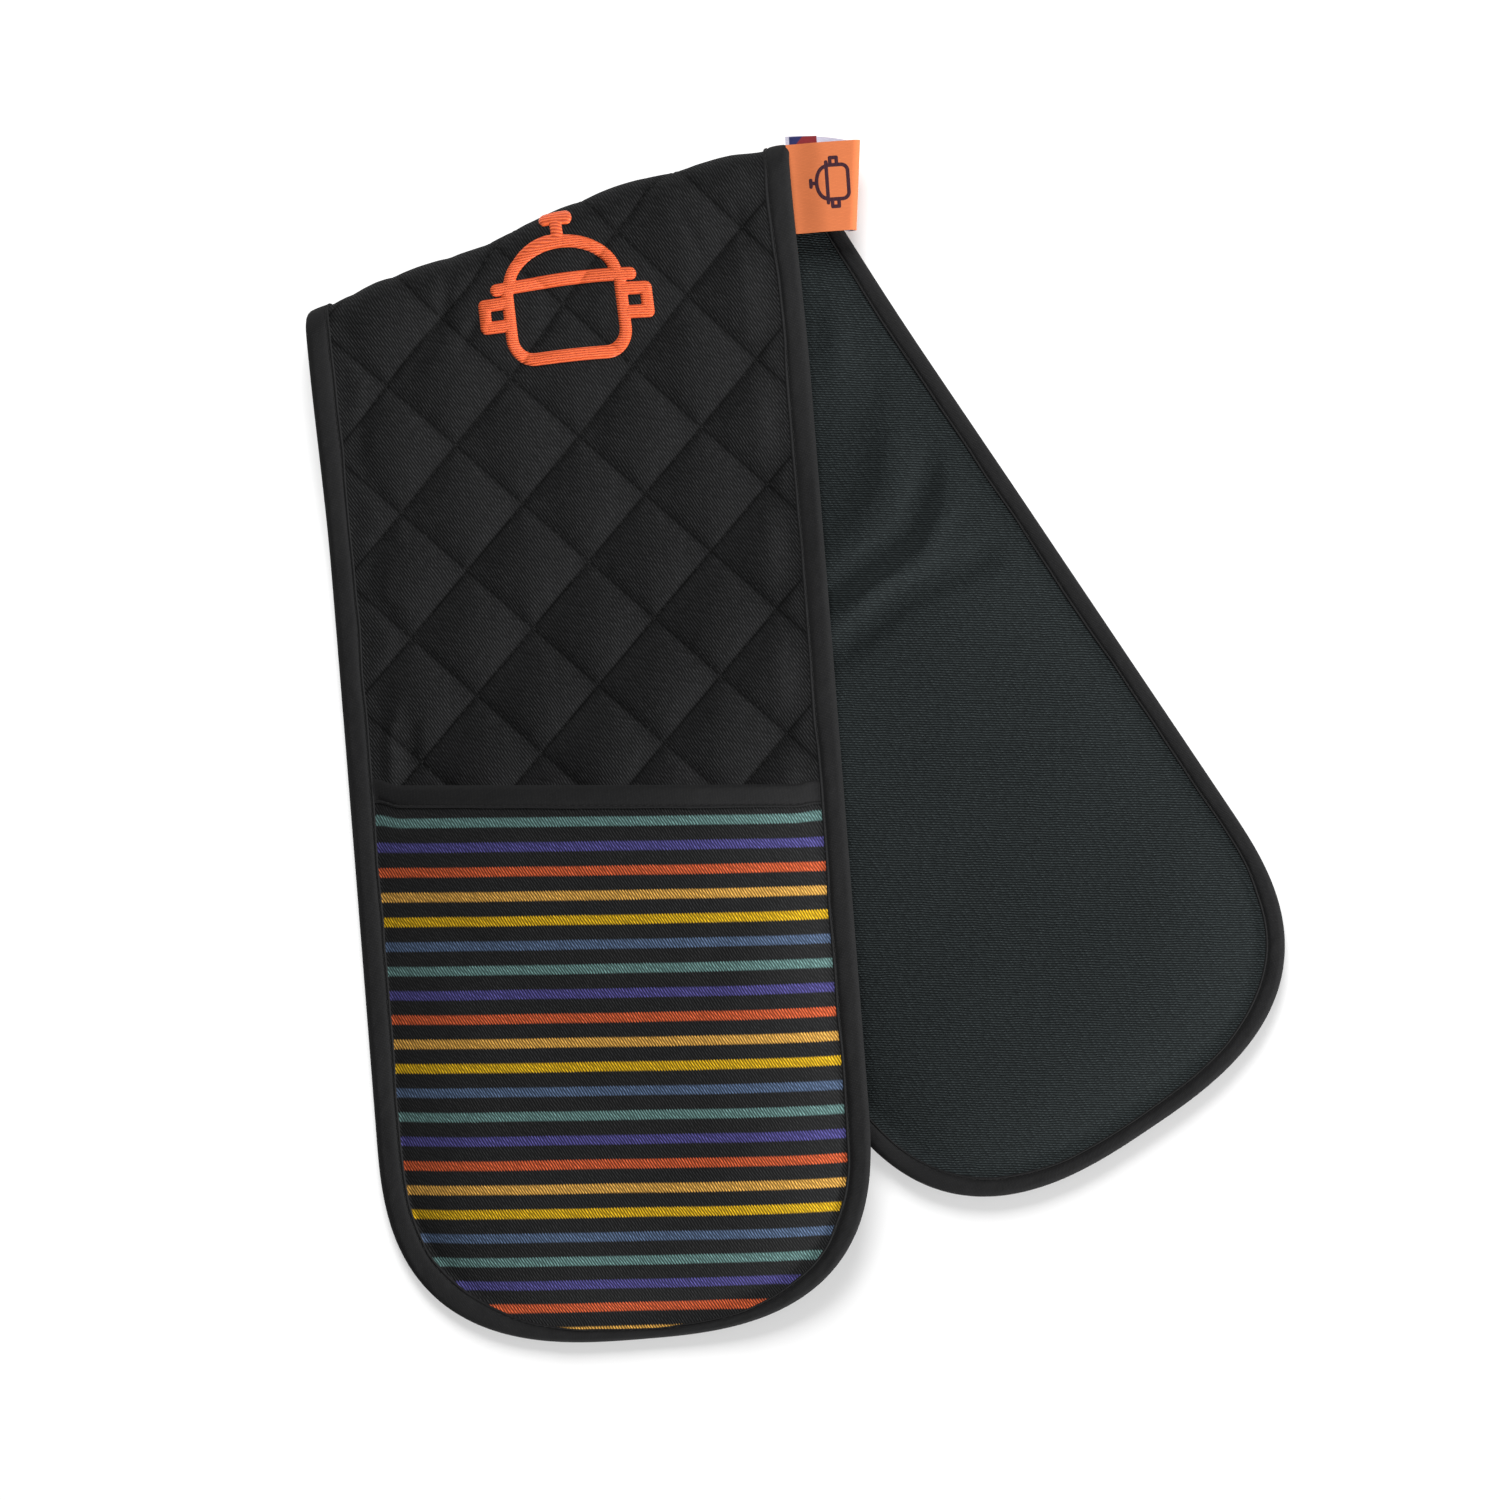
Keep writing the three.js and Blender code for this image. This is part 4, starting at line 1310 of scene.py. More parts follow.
@dataclass(frozen=True)
class Bends:
    """Pieces that cross a joint: their transforms are baked into their meshes, and they are not shared
    between its bodies.
    """

    lay: Lay
    lean: float = 0.2
    reach: float = 0.75
    pocket_middle: float = 0.28

    def over_fold(self, piece: bpy.types.Object, h: float) -> None:
        """Bakes the transform of a piece that runs round the fold into its mesh.

        Args:
            piece: The front leg's piece, which runs round the fold to the back leg.
            h: Its height above the middle of the strip; not used.
        """
        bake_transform(piece)

    def across_pocket(self, piece: bpy.types.Object, side: Side, edge: float) -> None:
        """Works out where half a pocket's side seam and middle lie and bakes the half's transform into its
        mesh; the half is not shared between its leg and its own body.

        Args:
            piece: The half.
            side: The leg.
            edge: Place of the half's side seam across the strip.
        """
        s = side.value * self.pocket_middle
        start, end = self.lay.place(np.array(s), np.array([edge, 0.0]), np.array(0.0))
        end[2] = start[2]
        side.pocket
        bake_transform(piece)


@dataclass(frozen=True)
class Capsules:
    """Single stitches: short rounded threads that dip into the cloth at both ends."""

    lay: Lay
    length: float = 2.3 * MM
    radius: float = 0.26 * MM
    dip: float = 0.3 * MM
    sides: int = 6
    stations: tuple = ((-1.0, 0.3), (-0.82, 0.8), (-0.35, 1.0), (0.35, 1.0), (0.82, 0.8), (1.0, 0.3))

    def build(
        self,
        name: str,
        s: np.ndarray,
        b: np.ndarray,
        run: np.ndarray,
        h: np.ndarray,
    ) -> bpy.types.Object:
        """Makes one object of many stitches.

        Args:
            name: The object's name.
            s: Places of the stitches along the strip.
            b: Their places across.
            run: Their directions on the pattern, as (s, b).
            h: Heights of the cloth under them.

        Returns:
            The object.
        """
        run = run / np.maximum(np.linalg.norm(run, axis=-1, keepdims=True), 1e-12)
        share = np.array([u for u, _ in self.stations])
        reach = share * self.length / 2
        along_s, along_b = s[:, None] + run[:, :1] * reach, b[:, None] + run[:, 1:] * reach
        height = h[:, None] + self.radius * 0.4 - self.dip * share**4
        middle = self.lay.place(along_s, along_b, height)
        above = self.lay.place(along_s, along_b, height + MM)
        tangent = np.broadcast_to(middle[:, -1:] - middle[:, :1], middle.shape)
        up = above - middle
        up = up / np.linalg.norm(up, axis=-1, keepdims=True)
        aside = np.cross(up, tangent)
        aside = aside / np.maximum(np.linalg.norm(aside, axis=-1, keepdims=True), 1e-12)
        turn = np.arange(self.sides) * math.tau / self.sides
        width = self.radius * np.array([k for _, k in self.stations])
        ring = np.cos(turn)[:, None] * aside[:, :, None] + np.sin(turn)[:, None] * up[:, :, None]
        points = middle[:, :, None] + ring * width[None, :, None, None]
        return self.mesh(name, points, reach, turn)

    def mesh(self, name: str, points: np.ndarray, reach: np.ndarray, turn: np.ndarray) -> bpy.types.Object:
        """Joins the rings of points into closed threads."""
        count, rings, sides = points.shape[:3]
        index = np.arange(rings * sides).reshape(rings, sides)
        ahead = np.roll(index, -1, axis=1)
        body = np.stack([index[:-1], ahead[:-1], ahead[1:], index[1:]], axis=-1).reshape(-1, 4)
        first = np.array([[0, 3, 2, 1], [0, 5, 4, 3]])
        last = first[:, ::-1] + (rings - 1) * sides
        one = np.concatenate([body, first, last])
        faces = (one[None] + (np.arange(count) * rings * sides)[:, None, None]).reshape(-1, 4)
        twist = np.stack(np.broadcast_arrays(turn[None] * MM, reach[:, None]), axis=-1)
        chart = np.broadcast_to(twist, (count, rings, sides, 2)).reshape(-1, 2)
        return make_object(name, points.reshape(-1, 3), faces, chart)


@dataclass
class StripLayers:
    """Quilted face, wadding and backing, each over both legs."""

    lay: Lay
    lattices: Lattices
    relief: Relief
    bends: Bends
    wardrobe: Wardrobe
    inset: float = 1.2 * MM
    face_spacing: float = 1.45 * MM
    backing_spacing: float = 2.2 * MM
    wadding_spacing: float = 3.2 * MM
    cloth: float = 0.7 * MM
    air: float = 0.1 * MM
    samples: int = 3
    thinnest: float = 0.5 * MM
    fold_air: float = 1.6 * MM
    fold_reach: float = 16 * MM

    def build(self) -> None:
        """Makes the six pieces."""
        s, b, split = self.lattices.strip(self.inset, self.face_spacing)
        top = self.relief.face(s, b)
        self.layer("quilted_face", s, b, top, top - self.cloth, split, "black_twill")
        s, b, split = self.lattices.strip(self.inset, self.wadding_spacing)
        top = self.least(self.relief.face, s, b) - self.cloth - self.air
        bottom = self.cloth + self.air - self.least(self.relief.back, s, b)
        bottom = bottom + self.fold_air * bump(self.lay.roll(s, b), self.fold_reach)
        self.layer("wadding", s, b, top, np.minimum(bottom, top - self.thinnest), split, "wadding")
        s, b, split = self.lattices.strip(self.inset, self.backing_spacing)
        bottom = -self.relief.back(s, b)
        self.layer("backing", s, b, bottom, bottom + self.cloth, split, "backing_twill")

    def least(self, surface: Callable, s: np.ndarray, b: np.ndarray) -> np.ndarray:
        """Least height of a surface within one step of the wadding's lattice.

        Args:
            surface: Gives the height at places s and b.
            s: The lattice's places along the strip.
            b: Its places across.

        Returns:
            A height for each place, which a coarse lattice can follow without cutting the surface.
        """
        steps = np.linspace(-self.wadding_spacing, self.wadding_spacing, 2 * self.samples + 1)
        return np.min([surface(s + i, b + j) for i in steps for j in steps], axis=0)

    def layer(
        self,
        name: str,
        s: np.ndarray,
        b: np.ndarray,
        outer: np.ndarray,
        inner: np.ndarray,
        split: int,
        finish: str,
    ) -> None:
        """Makes the two pieces of one layer.

        Args:
            name: The layer's name.
            s: The lattice's places along the strip.
            b: Its places across.
            outer: Heights of the layer's outer surface.
            inner: Heights of its inner surface.
            split: The row where the pieces meet.
            finish: Its material.
        """
        chart = np.stack([b, s], axis=-1)
        cloth = Cloth(self.lay.place(s, b, outer), self.lay.place(s, b, inner), chart)
        for side, rows in ((Side.BACK, slice(0, split + 1)), (Side.FRONT, slice(split, None))):
            piece = cloth.piece(f"{side.word}_leg_{name}", rows)
            self.wardrobe.dress(piece, finish, finish, f"{side.word}_{name}")
            if side is Side.FRONT:
                above = self.relief.pattern.half_middle
                self.bends.over_fold(piece, above if name == "quilted_face" else -above)
            else:
                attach(piece, side.leg)
            if name == "wadding":
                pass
            else:
                declare(chart[rows])


@dataclass(frozen=True)
class TapeProfile:
    """Cross-section of a folded tape, from its lip on the face round the edge to its other lip."""

    width: float = 8.4 * MM
    other_width: float = 6.0 * MM
    nose: float = 1.5 * MM
    nose_outer: float = 2.3 * MM
    nose_inner: float = 1.4 * MM
    inner_lift: float = 0.05 * MM
    shape: tuple = (
        (9.0, 0.28),
        (8.9, 0.62),
        (8.65, 0.90),
        (8.3, 0.92),
        (8.0, 0.50),
        (7.75, 0.28),
        (7.45, 0.48),
        (6.9, 0.90),
        (6.1, 1.08),
        (5.1, 1.18),
        (4.0, 1.18),
        (2.8, 1.12),
        (1.9, 1.04),
    )
    nose_turns: tuple = (14, 36, 58, 78, 90, 102, 122, 144, 166)

    def columns(self) -> tuple[np.ndarray, np.ndarray, np.ndarray, np.ndarray]:
        """The section's columns.

        Returns:
            Distances in of the outer and the inner surface, the share of the half thickness (1 on the face
            and -1 on the other side) and the outer surface's lift over it.
        """
        flat_x = np.array([x for x, _ in self.shape]) / 9 * self.width
        other_x = flat_x[::-1] * self.other_width / self.width
        flat_lift = np.array([lift for _, lift in self.shape]) * MM
        turn = np.radians(self.nose_turns)
        nose_out = self.nose - self.nose_outer * np.sin(turn)
        nose_in = self.nose - self.nose_inner * np.sin(turn)
        ones = np.ones(len(flat_x))
        return (
            np.concatenate([flat_x, nose_out, other_x]),
            np.concatenate([flat_x, nose_in, other_x]),
            np.concatenate([ones, np.cos(turn), -ones]),
            np.concatenate([flat_lift, np.full(len(turn), MM), flat_lift[::-1]]),
        )

    def length(self) -> np.ndarray:
        """Distance round the section to each column."""
        outer, _, share, lift = self.columns()
        high = share * (2 * MM + lift)
        return np.concatenate([[0], np.cumsum(np.hypot(np.diff(outer), np.diff(high)))])


@dataclass
class EdgeBinding:
    """Tape folded round the cut edge of both legs, with its stitches."""

    lay: Lay
    lattices: Lattices
    bends: Bends
    wardrobe: Wardrobe
    profile: TapeProfile = field(default_factory=TapeProfile)
    spacing: float = 1.5 * MM
    half: float = 1.95 * MM
    pocket_half: float = 2.45 * MM
    pocket_blend: float = 8 * MM
    wave: float = 0.75 * MM
    wave_size: float = 22 * MM
    ripple: float = 0.24 * MM
    ripple_size: float = 4.5 * MM
    ripple_squeeze: float = 1.5
    noise_offset: float = 0.31
    stitch_step: float = 2.9 * MM
    stitch_share: float = 7.75 / 9
    stitch_lift: float = 0.25 * MM
    toe_narrow: float = 5.0 * MM
    toe_offset: float = -12 * MM
    toe_reach: float = 68 * MM
    fold_flat: float = 0.5
    fold_reach: float = 14 * MM
    noise: ClothNoise = ClothNoise(41)

    def narrowed(self, walked: np.ndarray) -> np.ndarray:
        """How much narrower the tape's face side is round the toe."""
        return self.toe_narrow * bump(walked - walked.max() / 2 - self.toe_offset, self.toe_reach)

    def face_half(self, side: Side, s: np.ndarray, b: np.ndarray) -> np.ndarray:
        """Height of what is under the tape on the face."""
        place, slope = self.lattices.pattern.mouth(side)
        behind = side.value * (s - place - slope * b)
        return mix(self.half, self.pocket_half, smooth(behind / (2 * self.pocket_blend) + 0.5))

    def build(self) -> None:
        """Makes the tape of both legs and its stitches."""
        for side in Side:
            path = self.lattices.edge_path(side, self.spacing)
            walked = path.walked()[:, None]
            outer_x, inner_x, share, lift = self.profile.columns()
            phase = side.value * self.noise_offset
            wave = self.wave * self.noise.sample(walked + phase, np.zeros_like(walked), self.wave_size)
            wave = wave * np.sign(share + 0.001) - self.narrowed(walked) * (share > 0)
            wave = wave * np.clip(outer_x / self.profile.width, 0, 1)
            across = outer_x[None] * self.ripple_squeeze
            ripple = self.noise.sample(walked + phase, across, self.ripple_size) * self.ripple
            surfaces = []
            for x, over in ((outer_x + wave, lift + ripple), (inner_x + wave, self.profile.inner_lift)):
                s, b = path.points(x)
                over = over * (1 - self.fold_flat * bump(self.lay.roll(s, b), self.fold_reach))
                top, bottom = self.face_half(side, s, b), -self.half
                h = (top + bottom) / 2 + share * ((top - bottom) / 2 + over)
                surfaces.append(self.lay.place(s, b, h))
            chart = np.stack(np.broadcast_arrays(walked, self.profile.length()[None]), axis=-1)
            piece = Cloth(*surfaces, chart).piece(f"{side.word}_leg_edge_binding")
            self.wardrobe.dress(piece, "binding_tape", "binding_tape", f"{side.word}_edge_binding")
            self.carry(piece, side)
            declare(chart)
            self.stitches(side, path)

    def carry(self, piece: bpy.types.Object, side: Side) -> None:
        """Attaches a back-leg piece to its leg; a front-leg piece only has its transform baked into its
        mesh.
        """
        if side is Side.FRONT:
            self.bends.over_fold(piece, 0.0)
        else:
            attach(piece, side.leg)

    def stitches(self, side: Side, path: EdgePath) -> None:
        """Sews the tape down, on the face and on the backing."""
        for word, width in (("face", self.profile.width), ("backing", self.profile.other_width)):
            narrowed = self.narrowed(path.walked()) if word == "face" else 0.0
            inset = ((width - narrowed) * self.stitch_share + np.zeros(len(path.walked())))[:, None]
            s, b = (line[:, 0] for line in path.points(inset))
            walked = np.concatenate([[0], np.cumsum(np.hypot(np.diff(s), np.diff(b)))])
            centres = np.arange(self.stitch_step, walked[-1] - self.stitch_step, self.stitch_step)
            at_s, at_b = np.interp(centres, walked, s), np.interp(centres, walked, b)
            ahead_s, ahead_b = np.interp(centres + MM, walked, s), np.interp(centres + MM, walked, b)
            run = np.stack([ahead_s - at_s, ahead_b - at_b], axis=-1)
            h = self.face_half(side, at_s, at_b) if word == "face" else np.full_like(at_s, -self.half)
            h = h + np.sign(h) * self.stitch_lift
            piece = Capsules(self.lay).build(f"{side.word}_edge_stitches_{word}", at_s, at_b, run, h)
            self.wardrobe.dress(piece, "stitch_thread", "binding_tape")
            self.carry(piece, side)


@dataclass
class QuiltStitches:
    """The stitches in the quilted lines of both faces."""

    lay: Lay
    relief: Relief
    bends: Bends
    wardrobe: Wardrobe
    step: float = 3.1 * MM
    reach: int = 24
    clear: float = 0.9
    emblem_gap: float = 2.9 * MM
    past_mouth: float = 6 * MM

    def build(self) -> None:
        """Makes one object of stitches for each leg."""
        quilting, cut = self.relief.quilting, self.relief.pattern
        lines = np.arange(-self.reach, self.reach + 1)
        along = np.arange(-self.reach, self.reach, self.step / quilting.spacing)
        i, j = (axis.ravel() for axis in np.meshgrid(lines, along))
        s_i, b_i = quilting.point(i, j)
        s_j, b_j = quilting.point(j, i)
        s, b = np.concatenate([s_i, s_j]), np.concatenate([b_i, b_j])
        run_i = np.array([quilting.step_s, -quilting.step_b])
        run_j = np.array([quilting.step_s, quilting.step_b])
        run = np.concatenate([np.broadcast_to(run_i, (len(i), 2)), np.broadcast_to(run_j, (len(i), 2))])
        kept = cut.ratio(s, b, cut.panel_inset) < self.clear
        for side in Side:
            place, slope = cut.mouth(side)
            kept &= side.value * (s - place - slope * b) < self.past_mouth
        away = np.where(np.abs(s) < 0.09, self.relief.emblem.distance(np.abs(s), b), 1.0)
        kept &= (s < 0) | (away > self.emblem_gap)
        front = self.lay.roll(s, b) > -self.lay.quarter
        for side, chosen in ((Side.FRONT, kept & front), (Side.BACK, kept & ~front)):
            h = self.relief.face(s[chosen], b[chosen])
            capsules = Capsules(self.lay, length=2.2 * MM, radius=0.2 * MM)
            piece = capsules.build(f"{side.word}_quilt_stitches", s[chosen], b[chosen], run[chosen], h)
            self.wardrobe.dress(piece, "stitch_thread", "black_twill")
            if side is Side.FRONT:
                self.bends.over_fold(piece, cut.half_middle)
            else:
                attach(piece, side.leg)


@dataclass
class Pocket:
    """One hand pocket: striped cloth, wadding and lining, with a bound mouth."""

    side: Side
    lay: Lay
    lattices: Lattices
    relief: Relief
    bends: Bends
    wardrobe: Wardrobe
    inset: float = 1.2 * MM
    spacing: float = 1.8 * MM
    thickness: float = 4.2 * MM
    edge_thickness: float = 1.1 * MM
    edge_power: float = 8.0
    edge_squeeze: float = 0.3 * MM
    air: float = 0.1 * MM
    hem_share: float = 0.5
    hem_start: float = 4 * MM
    hem_rise: float = 14 * MM
    hem_width: float = 7.9 * MM
    hem_half: float = 82.6 * MM
    hem_stitch_lift: float = 0.25 * MM
    hem_stitch_step: float = 2.9 * MM
    hem_wave: float = 0.3 * MM
    hem_wave_size: float = 25 * MM
    hem_ripple: float = 0.1 * MM
    hem_ripple_size: float = 4 * MM
    seam: float = 81 * MM
    setback: float = 1 * MM
    thinnest_half: float = 0.12 * MM
    waves: tuple = ((0.42 * MM, 33 * MM), (0.13 * MM, 9 * MM))
    outer_cloth: float = 0.6 * MM
    lining_cloth: float = 0.4 * MM
    wadding_setback: float = 10 * MM
    wadding_inset: float = 14 * MM
    left_turn: float = 2.4 * MM
    right_turn: float = 1.5 * MM
    turn_start: float = 72.5 * MM
    turn_width: float = 8.5 * MM
    turn_fade: float = 26 * MM
    noise: ClothNoise = ClothNoise(59)
    folds: tuple = (
        Crease(((0.232, -0.076), (0.262, -0.052), (0.285, -0.020)), -0.7 * MM, 6 * MM),
        Crease(((0.262, -0.078), (0.300, -0.050), (0.330, -0.015)), 0.6 * MM, 7 * MM),
        Crease(((0.235, 0.070), (0.270, 0.040), (0.300, 0.030)), -0.55 * MM, 6 * MM),
        Crease(((0.340, 0.060), (0.360, 0.020), (0.372, -0.030)), 0.5 * MM, 7 * MM),
    )

    def turned(self, b: np.ndarray) -> np.ndarray:
        """How far the mouth's ends turn up, towards the fold."""
        left = self.left_turn * smooth((-b - self.turn_start) / self.turn_width)
        return left + self.right_turn * smooth((b - self.turn_start) / self.turn_width)

    def behind(self, s: np.ndarray, b: np.ndarray) -> np.ndarray:
        """Distance behind the mouth's straight line."""
        place, slope = self.lattices.pattern.mouth(self.side)
        return self.side.value * (s - place - slope * b)

    def floor(self, s: np.ndarray, b: np.ndarray) -> np.ndarray:
        """Height of the lining's outer surface over the strip's middle."""
        cut = self.lattices.pattern
        inside = cut.inside(s, b)
        room = cut.hand_room(self.side) * (1 - inside**3)
        return cut.half(s, b) + self.air - self.edge_squeeze * inside**8 + room

    def stack(self, s: np.ndarray, b: np.ndarray) -> np.ndarray:
        """Thickness of the pocket's layers."""
        inside = self.lattices.pattern.inside(s, b)
        full = mix(self.thickness, self.edge_thickness, inside**self.edge_power)
        return full * mix(self.hem_share, 1.0, smooth((self.behind(s, b) - self.hem_start) / self.hem_rise))

    def swell(self, s: np.ndarray, b: np.ndarray) -> np.ndarray:
        """Soft unevenness of the striped cloth."""
        inside = self.lattices.pattern.inside(s, b)
        loose = (1 - inside**6) * smooth((self.behind(s, b) - 6 * MM) / (16 * MM))
        waves = sum(height * self.noise.sample(s, b, size) for height, size in self.waves)
        return loose * (waves + sum(fold.relief(np.abs(s), b) for fold in self.folds))

    def top(self, s: np.ndarray, b: np.ndarray) -> np.ndarray:
        """Height of the striped cloth."""
        return self.floor(s, b) + self.stack(s, b) + self.swell(s, b)

    def lattice(self, setback: float, spacing: float, inset: float) -> tuple:
        """The pocket's flat points, with its mouth's ends turned up, and their chart from the mouth."""
        s, b = self.lattices.pocket(self.side, inset, spacing, setback)
        down = self.behind(s, b)
        chart = np.stack([b, down], axis=-1)
        moved = s - self.side.value * self.turned(b) * (1 - smooth(down / self.turn_fade))
        return moved, b, chart

    def build(self) -> None:
        """Makes the pocket's layers, its mouth's tape and the tape's stitches."""
        s, b, chart = self.lattice(self.setback, self.spacing, self.inset)
        top = self.top(s, b)
        self.halves("pocket_outer", s, b, chart, top, top - self.outer_cloth, "striped_twill")
        s, b, chart = self.lattice(self.wadding_setback, 2 * self.spacing, self.wadding_inset)
        high = self.top(s, b) - self.outer_cloth - self.air
        low = self.floor(s, b) + self.lining_cloth + self.air
        middle, half = (high + low) / 2, np.maximum((high - low) / 2, self.thinnest_half)
        self.halves("pocket_wadding", s, b, chart, middle + half, middle - half, "wadding")
        s, b, chart = self.lattice(self.setback, self.spacing, self.inset)
        low = self.floor(s, b)
        self.halves("pocket_lining", s, b, chart, low, low + self.lining_cloth, "lining")
        self.hem()

    def halves(
        self,
        name: str,
        s: np.ndarray,
        b: np.ndarray,
        chart: np.ndarray,
        outer: np.ndarray,
        inner: np.ndarray,
        finish: str,
    ) -> None:
        """Makes the two halves of one layer.

        Args:
            name: The layer's name.
            s: The lattice's places along the strip.
            b: Its places across.
            chart: Its flat coordinates.
            outer: Heights of its outer surface.
            inner: Heights of its inner surface.
            finish: Its material.
        """
        cloth = Cloth(self.lay.place(s, b, outer), self.lay.place(s, b, inner), chart)
        middle = s.shape[1] // 2
        self.share(cloth, name, finish, ((-1, slice(0, middle + 1)), (1, slice(middle, None))))

    def share(self, cloth: Cloth, name: str, finish: str, parts: tuple) -> None:
        """Makes a cloth's left and right pieces.

        Args:
            cloth: The whole cloth.
            name: The layer's name.
            finish: Its material.
            parts: For each piece, the side's sign and its slice of columns.
        """
        for sign, columns in parts:
            word = "left" if sign < 0 else "right"
            piece = cloth.piece(f"{self.side.word}_{name}_{word}", slice(None), columns)
            self.wardrobe.dress(piece, finish, finish, f"{self.side.word}_{name}")
            self.bends.across_pocket(piece, self.side, sign * self.seam)
            if finish == "wadding":
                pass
            else:
                declare(cloth.chart[:, columns])

    def hem(self) -> None:
        """Makes the tape folded over the mouth and its stitches."""
        profile = TapeProfile(self.hem_width, self.hem_width, nose_outer=2.1 * MM)
        outer_x, inner_x, share, lift = profile.columns()
        count = round(self.hem_half / (0.75 * self.spacing))
        b = np.linspace(-self.hem_half, self.hem_half, 2 * count + 1)[None]
        place, slope = self.lattices.pattern.mouth(self.side)
        wave = self.hem_wave * self.noise.sample(b, np.zeros_like(b), self.hem_wave_size)
        ripple = self.hem_ripple * self.noise.sample(b, outer_x[:, None], self.hem_ripple_size)
        inside = self.lattices.pattern.inside(np.full_like(b, place), b)
        surfaces = []
        for x, over in ((outer_x, lift[:, None] + ripple), (inner_x, profile.inner_lift)):
            down = x[:, None] + wave * np.clip(x[:, None] / self.hem_width, 0, 1)
            turned = self.turned(b) * (1 - smooth(down / self.turn_fade))
            s = place + slope * b + self.side.value * (down - turned)
            over = np.where(share[:, None] < 0, over * (1 - 0.8 * inside**6), over)
            low, high = self.floor(s, b), self.floor(s, b) + self.stack(s, b)
            h = (low + high) / 2 + share[:, None] * ((high - low) / 2 + over)
            surfaces.append(self.lay.place(s, np.broadcast_to(b, s.shape), h))
        chart = np.stack(np.broadcast_arrays(b, profile.length()[:, None]), axis=-1)
        cloth = Cloth(*surfaces, chart)
        parts = ((-1, slice(0, count + 1)), (1, slice(count, None)))
        self.share(cloth, "pocket_mouth_binding", "binding_tape", parts)
        self.hem_stitches(profile)

    def hem_stitches(self, profile: TapeProfile) -> None:
        """Sews the mouth's tape down."""
        place, slope = self.lattices.pattern.mouth(self.side)
        down = profile.shape[5][0] * MM * self.hem_width / (9 * MM)
        for sign, word in ((-1, "left"), (1, "right")):
            b = sign * np.arange(1.5 * MM, self.hem_half - 3 * MM, self.hem_stitch_step)
            turned = self.turned(b) * (1 - smooth(down / self.turn_fade))
            s = place + slope * b + self.side.value * (down - turned)
            run = np.stack([np.full_like(b, slope), np.ones_like(b)], axis=-1)
            h = self.floor(s, b) + self.stack(s, b) + self.hem_stitch_lift
            piece = Capsules(self.lay).build(f"{self.side.word}_hem_stitches_{word}", s, b, run, h)
            self.wardrobe.dress(piece, "stitch_thread", "binding_tape")
            self.bends.across_pocket(piece, self.side, sign * self.seam)


@dataclass(frozen=True)
class LinePatch:
    """A fine mesh over thick lines, with its edge drawn onto their outline."""

    lines: list
    width: float
    cell: float

    def build(self) -> tuple[np.ndarray, np.ndarray, np.ndarray, np.ndarray]:
        """Cuts the patch out of a grid.

        Returns:
            Its points, its quads, its outline's edges and each point's distance from the lines.
        """
        ends = np.array([p for line in self.lines for p in line])
        low, high = ends.min(axis=0) - self.width, ends.max(axis=0) + self.width
        x, y = (np.arange(low[k], high[k], self.cell) for k in (0, 1))
        grid_x, grid_y = np.meshgrid(x, y, indexing="ij")
        middle_x, middle_y = (grid[:-1, :-1] + self.cell / 2 for grid in (grid_x, grid_y))
        centre = segment_distance(middle_x, middle_y, self.lines)
        chosen = centre < self.width / 2
        index = np.arange(grid_x.size).reshape(grid_x.shape)
        quads = np.stack([index[:-1, :-1], index[1:, :-1], index[1:, 1:], index[:-1, 1:]], axis=-1)[chosen]
        edges = np.concatenate([quads[:, [k, (k + 1) % 4]] for k in range(4)])
        found = {tuple(e) for e in edges.tolist()}
        rim = np.array([e for e in edges.tolist() if (e[1], e[0]) not in found])
        used, renamed = np.unique(quads, return_inverse=True)
        quads = renamed.reshape(-1, 4)
        rim = np.searchsorted(used, rim)
        px, py = grid_x.ravel()[used].copy(), grid_y.ravel()[used].copy()
        edge = np.unique(rim)
        nudge = self.cell * 0.05
        for _ in range(3):
            away = segment_distance(px[edge], py[edge], self.lines)
            slope_x = segment_distance(px[edge] + nudge, py[edge], self.lines) - away
            slope_y = segment_distance(px[edge], py[edge] + nudge, self.lines) - away
            steep = np.maximum(np.hypot(slope_x, slope_y), nudge * 0.3)
            px[edge] += (self.width / 2 - away) * slope_x / steep * 0.8
            py[edge] += (self.width / 2 - away) * slope_y / steep * 0.8
        return np.stack([px, py], axis=-1), quads, rim, segment_distance(px, py, self.lines)


def patch_object(
    name: str,
    top: np.ndarray,
    bottom: np.ndarray,
    quads: np.ndarray,
    rim: np.ndarray,
    chart: np.ndarray,
) -> bpy.types.Object:
    """Makes a closed object of a patch's upper and lower surfaces.

    Args:
        name: The object's name.
        top: World points of the upper surface.
        bottom: World points of the lower surface.
        quads: The patch's quads.
        rim: Its outline's edges.
        chart: Its flat coordinates.

    Returns:
        The object.
    """
    count = len(top)
    sides = np.stack([rim[:, 1], rim[:, 0], rim[:, 0] + count, rim[:, 1] + count], axis=-1)
    faces = np.concatenate([quads, quads[:, ::-1] + count, sides])
    return make_object(name, np.concatenate([top, bottom]), faces, np.concatenate([chart, chart]))


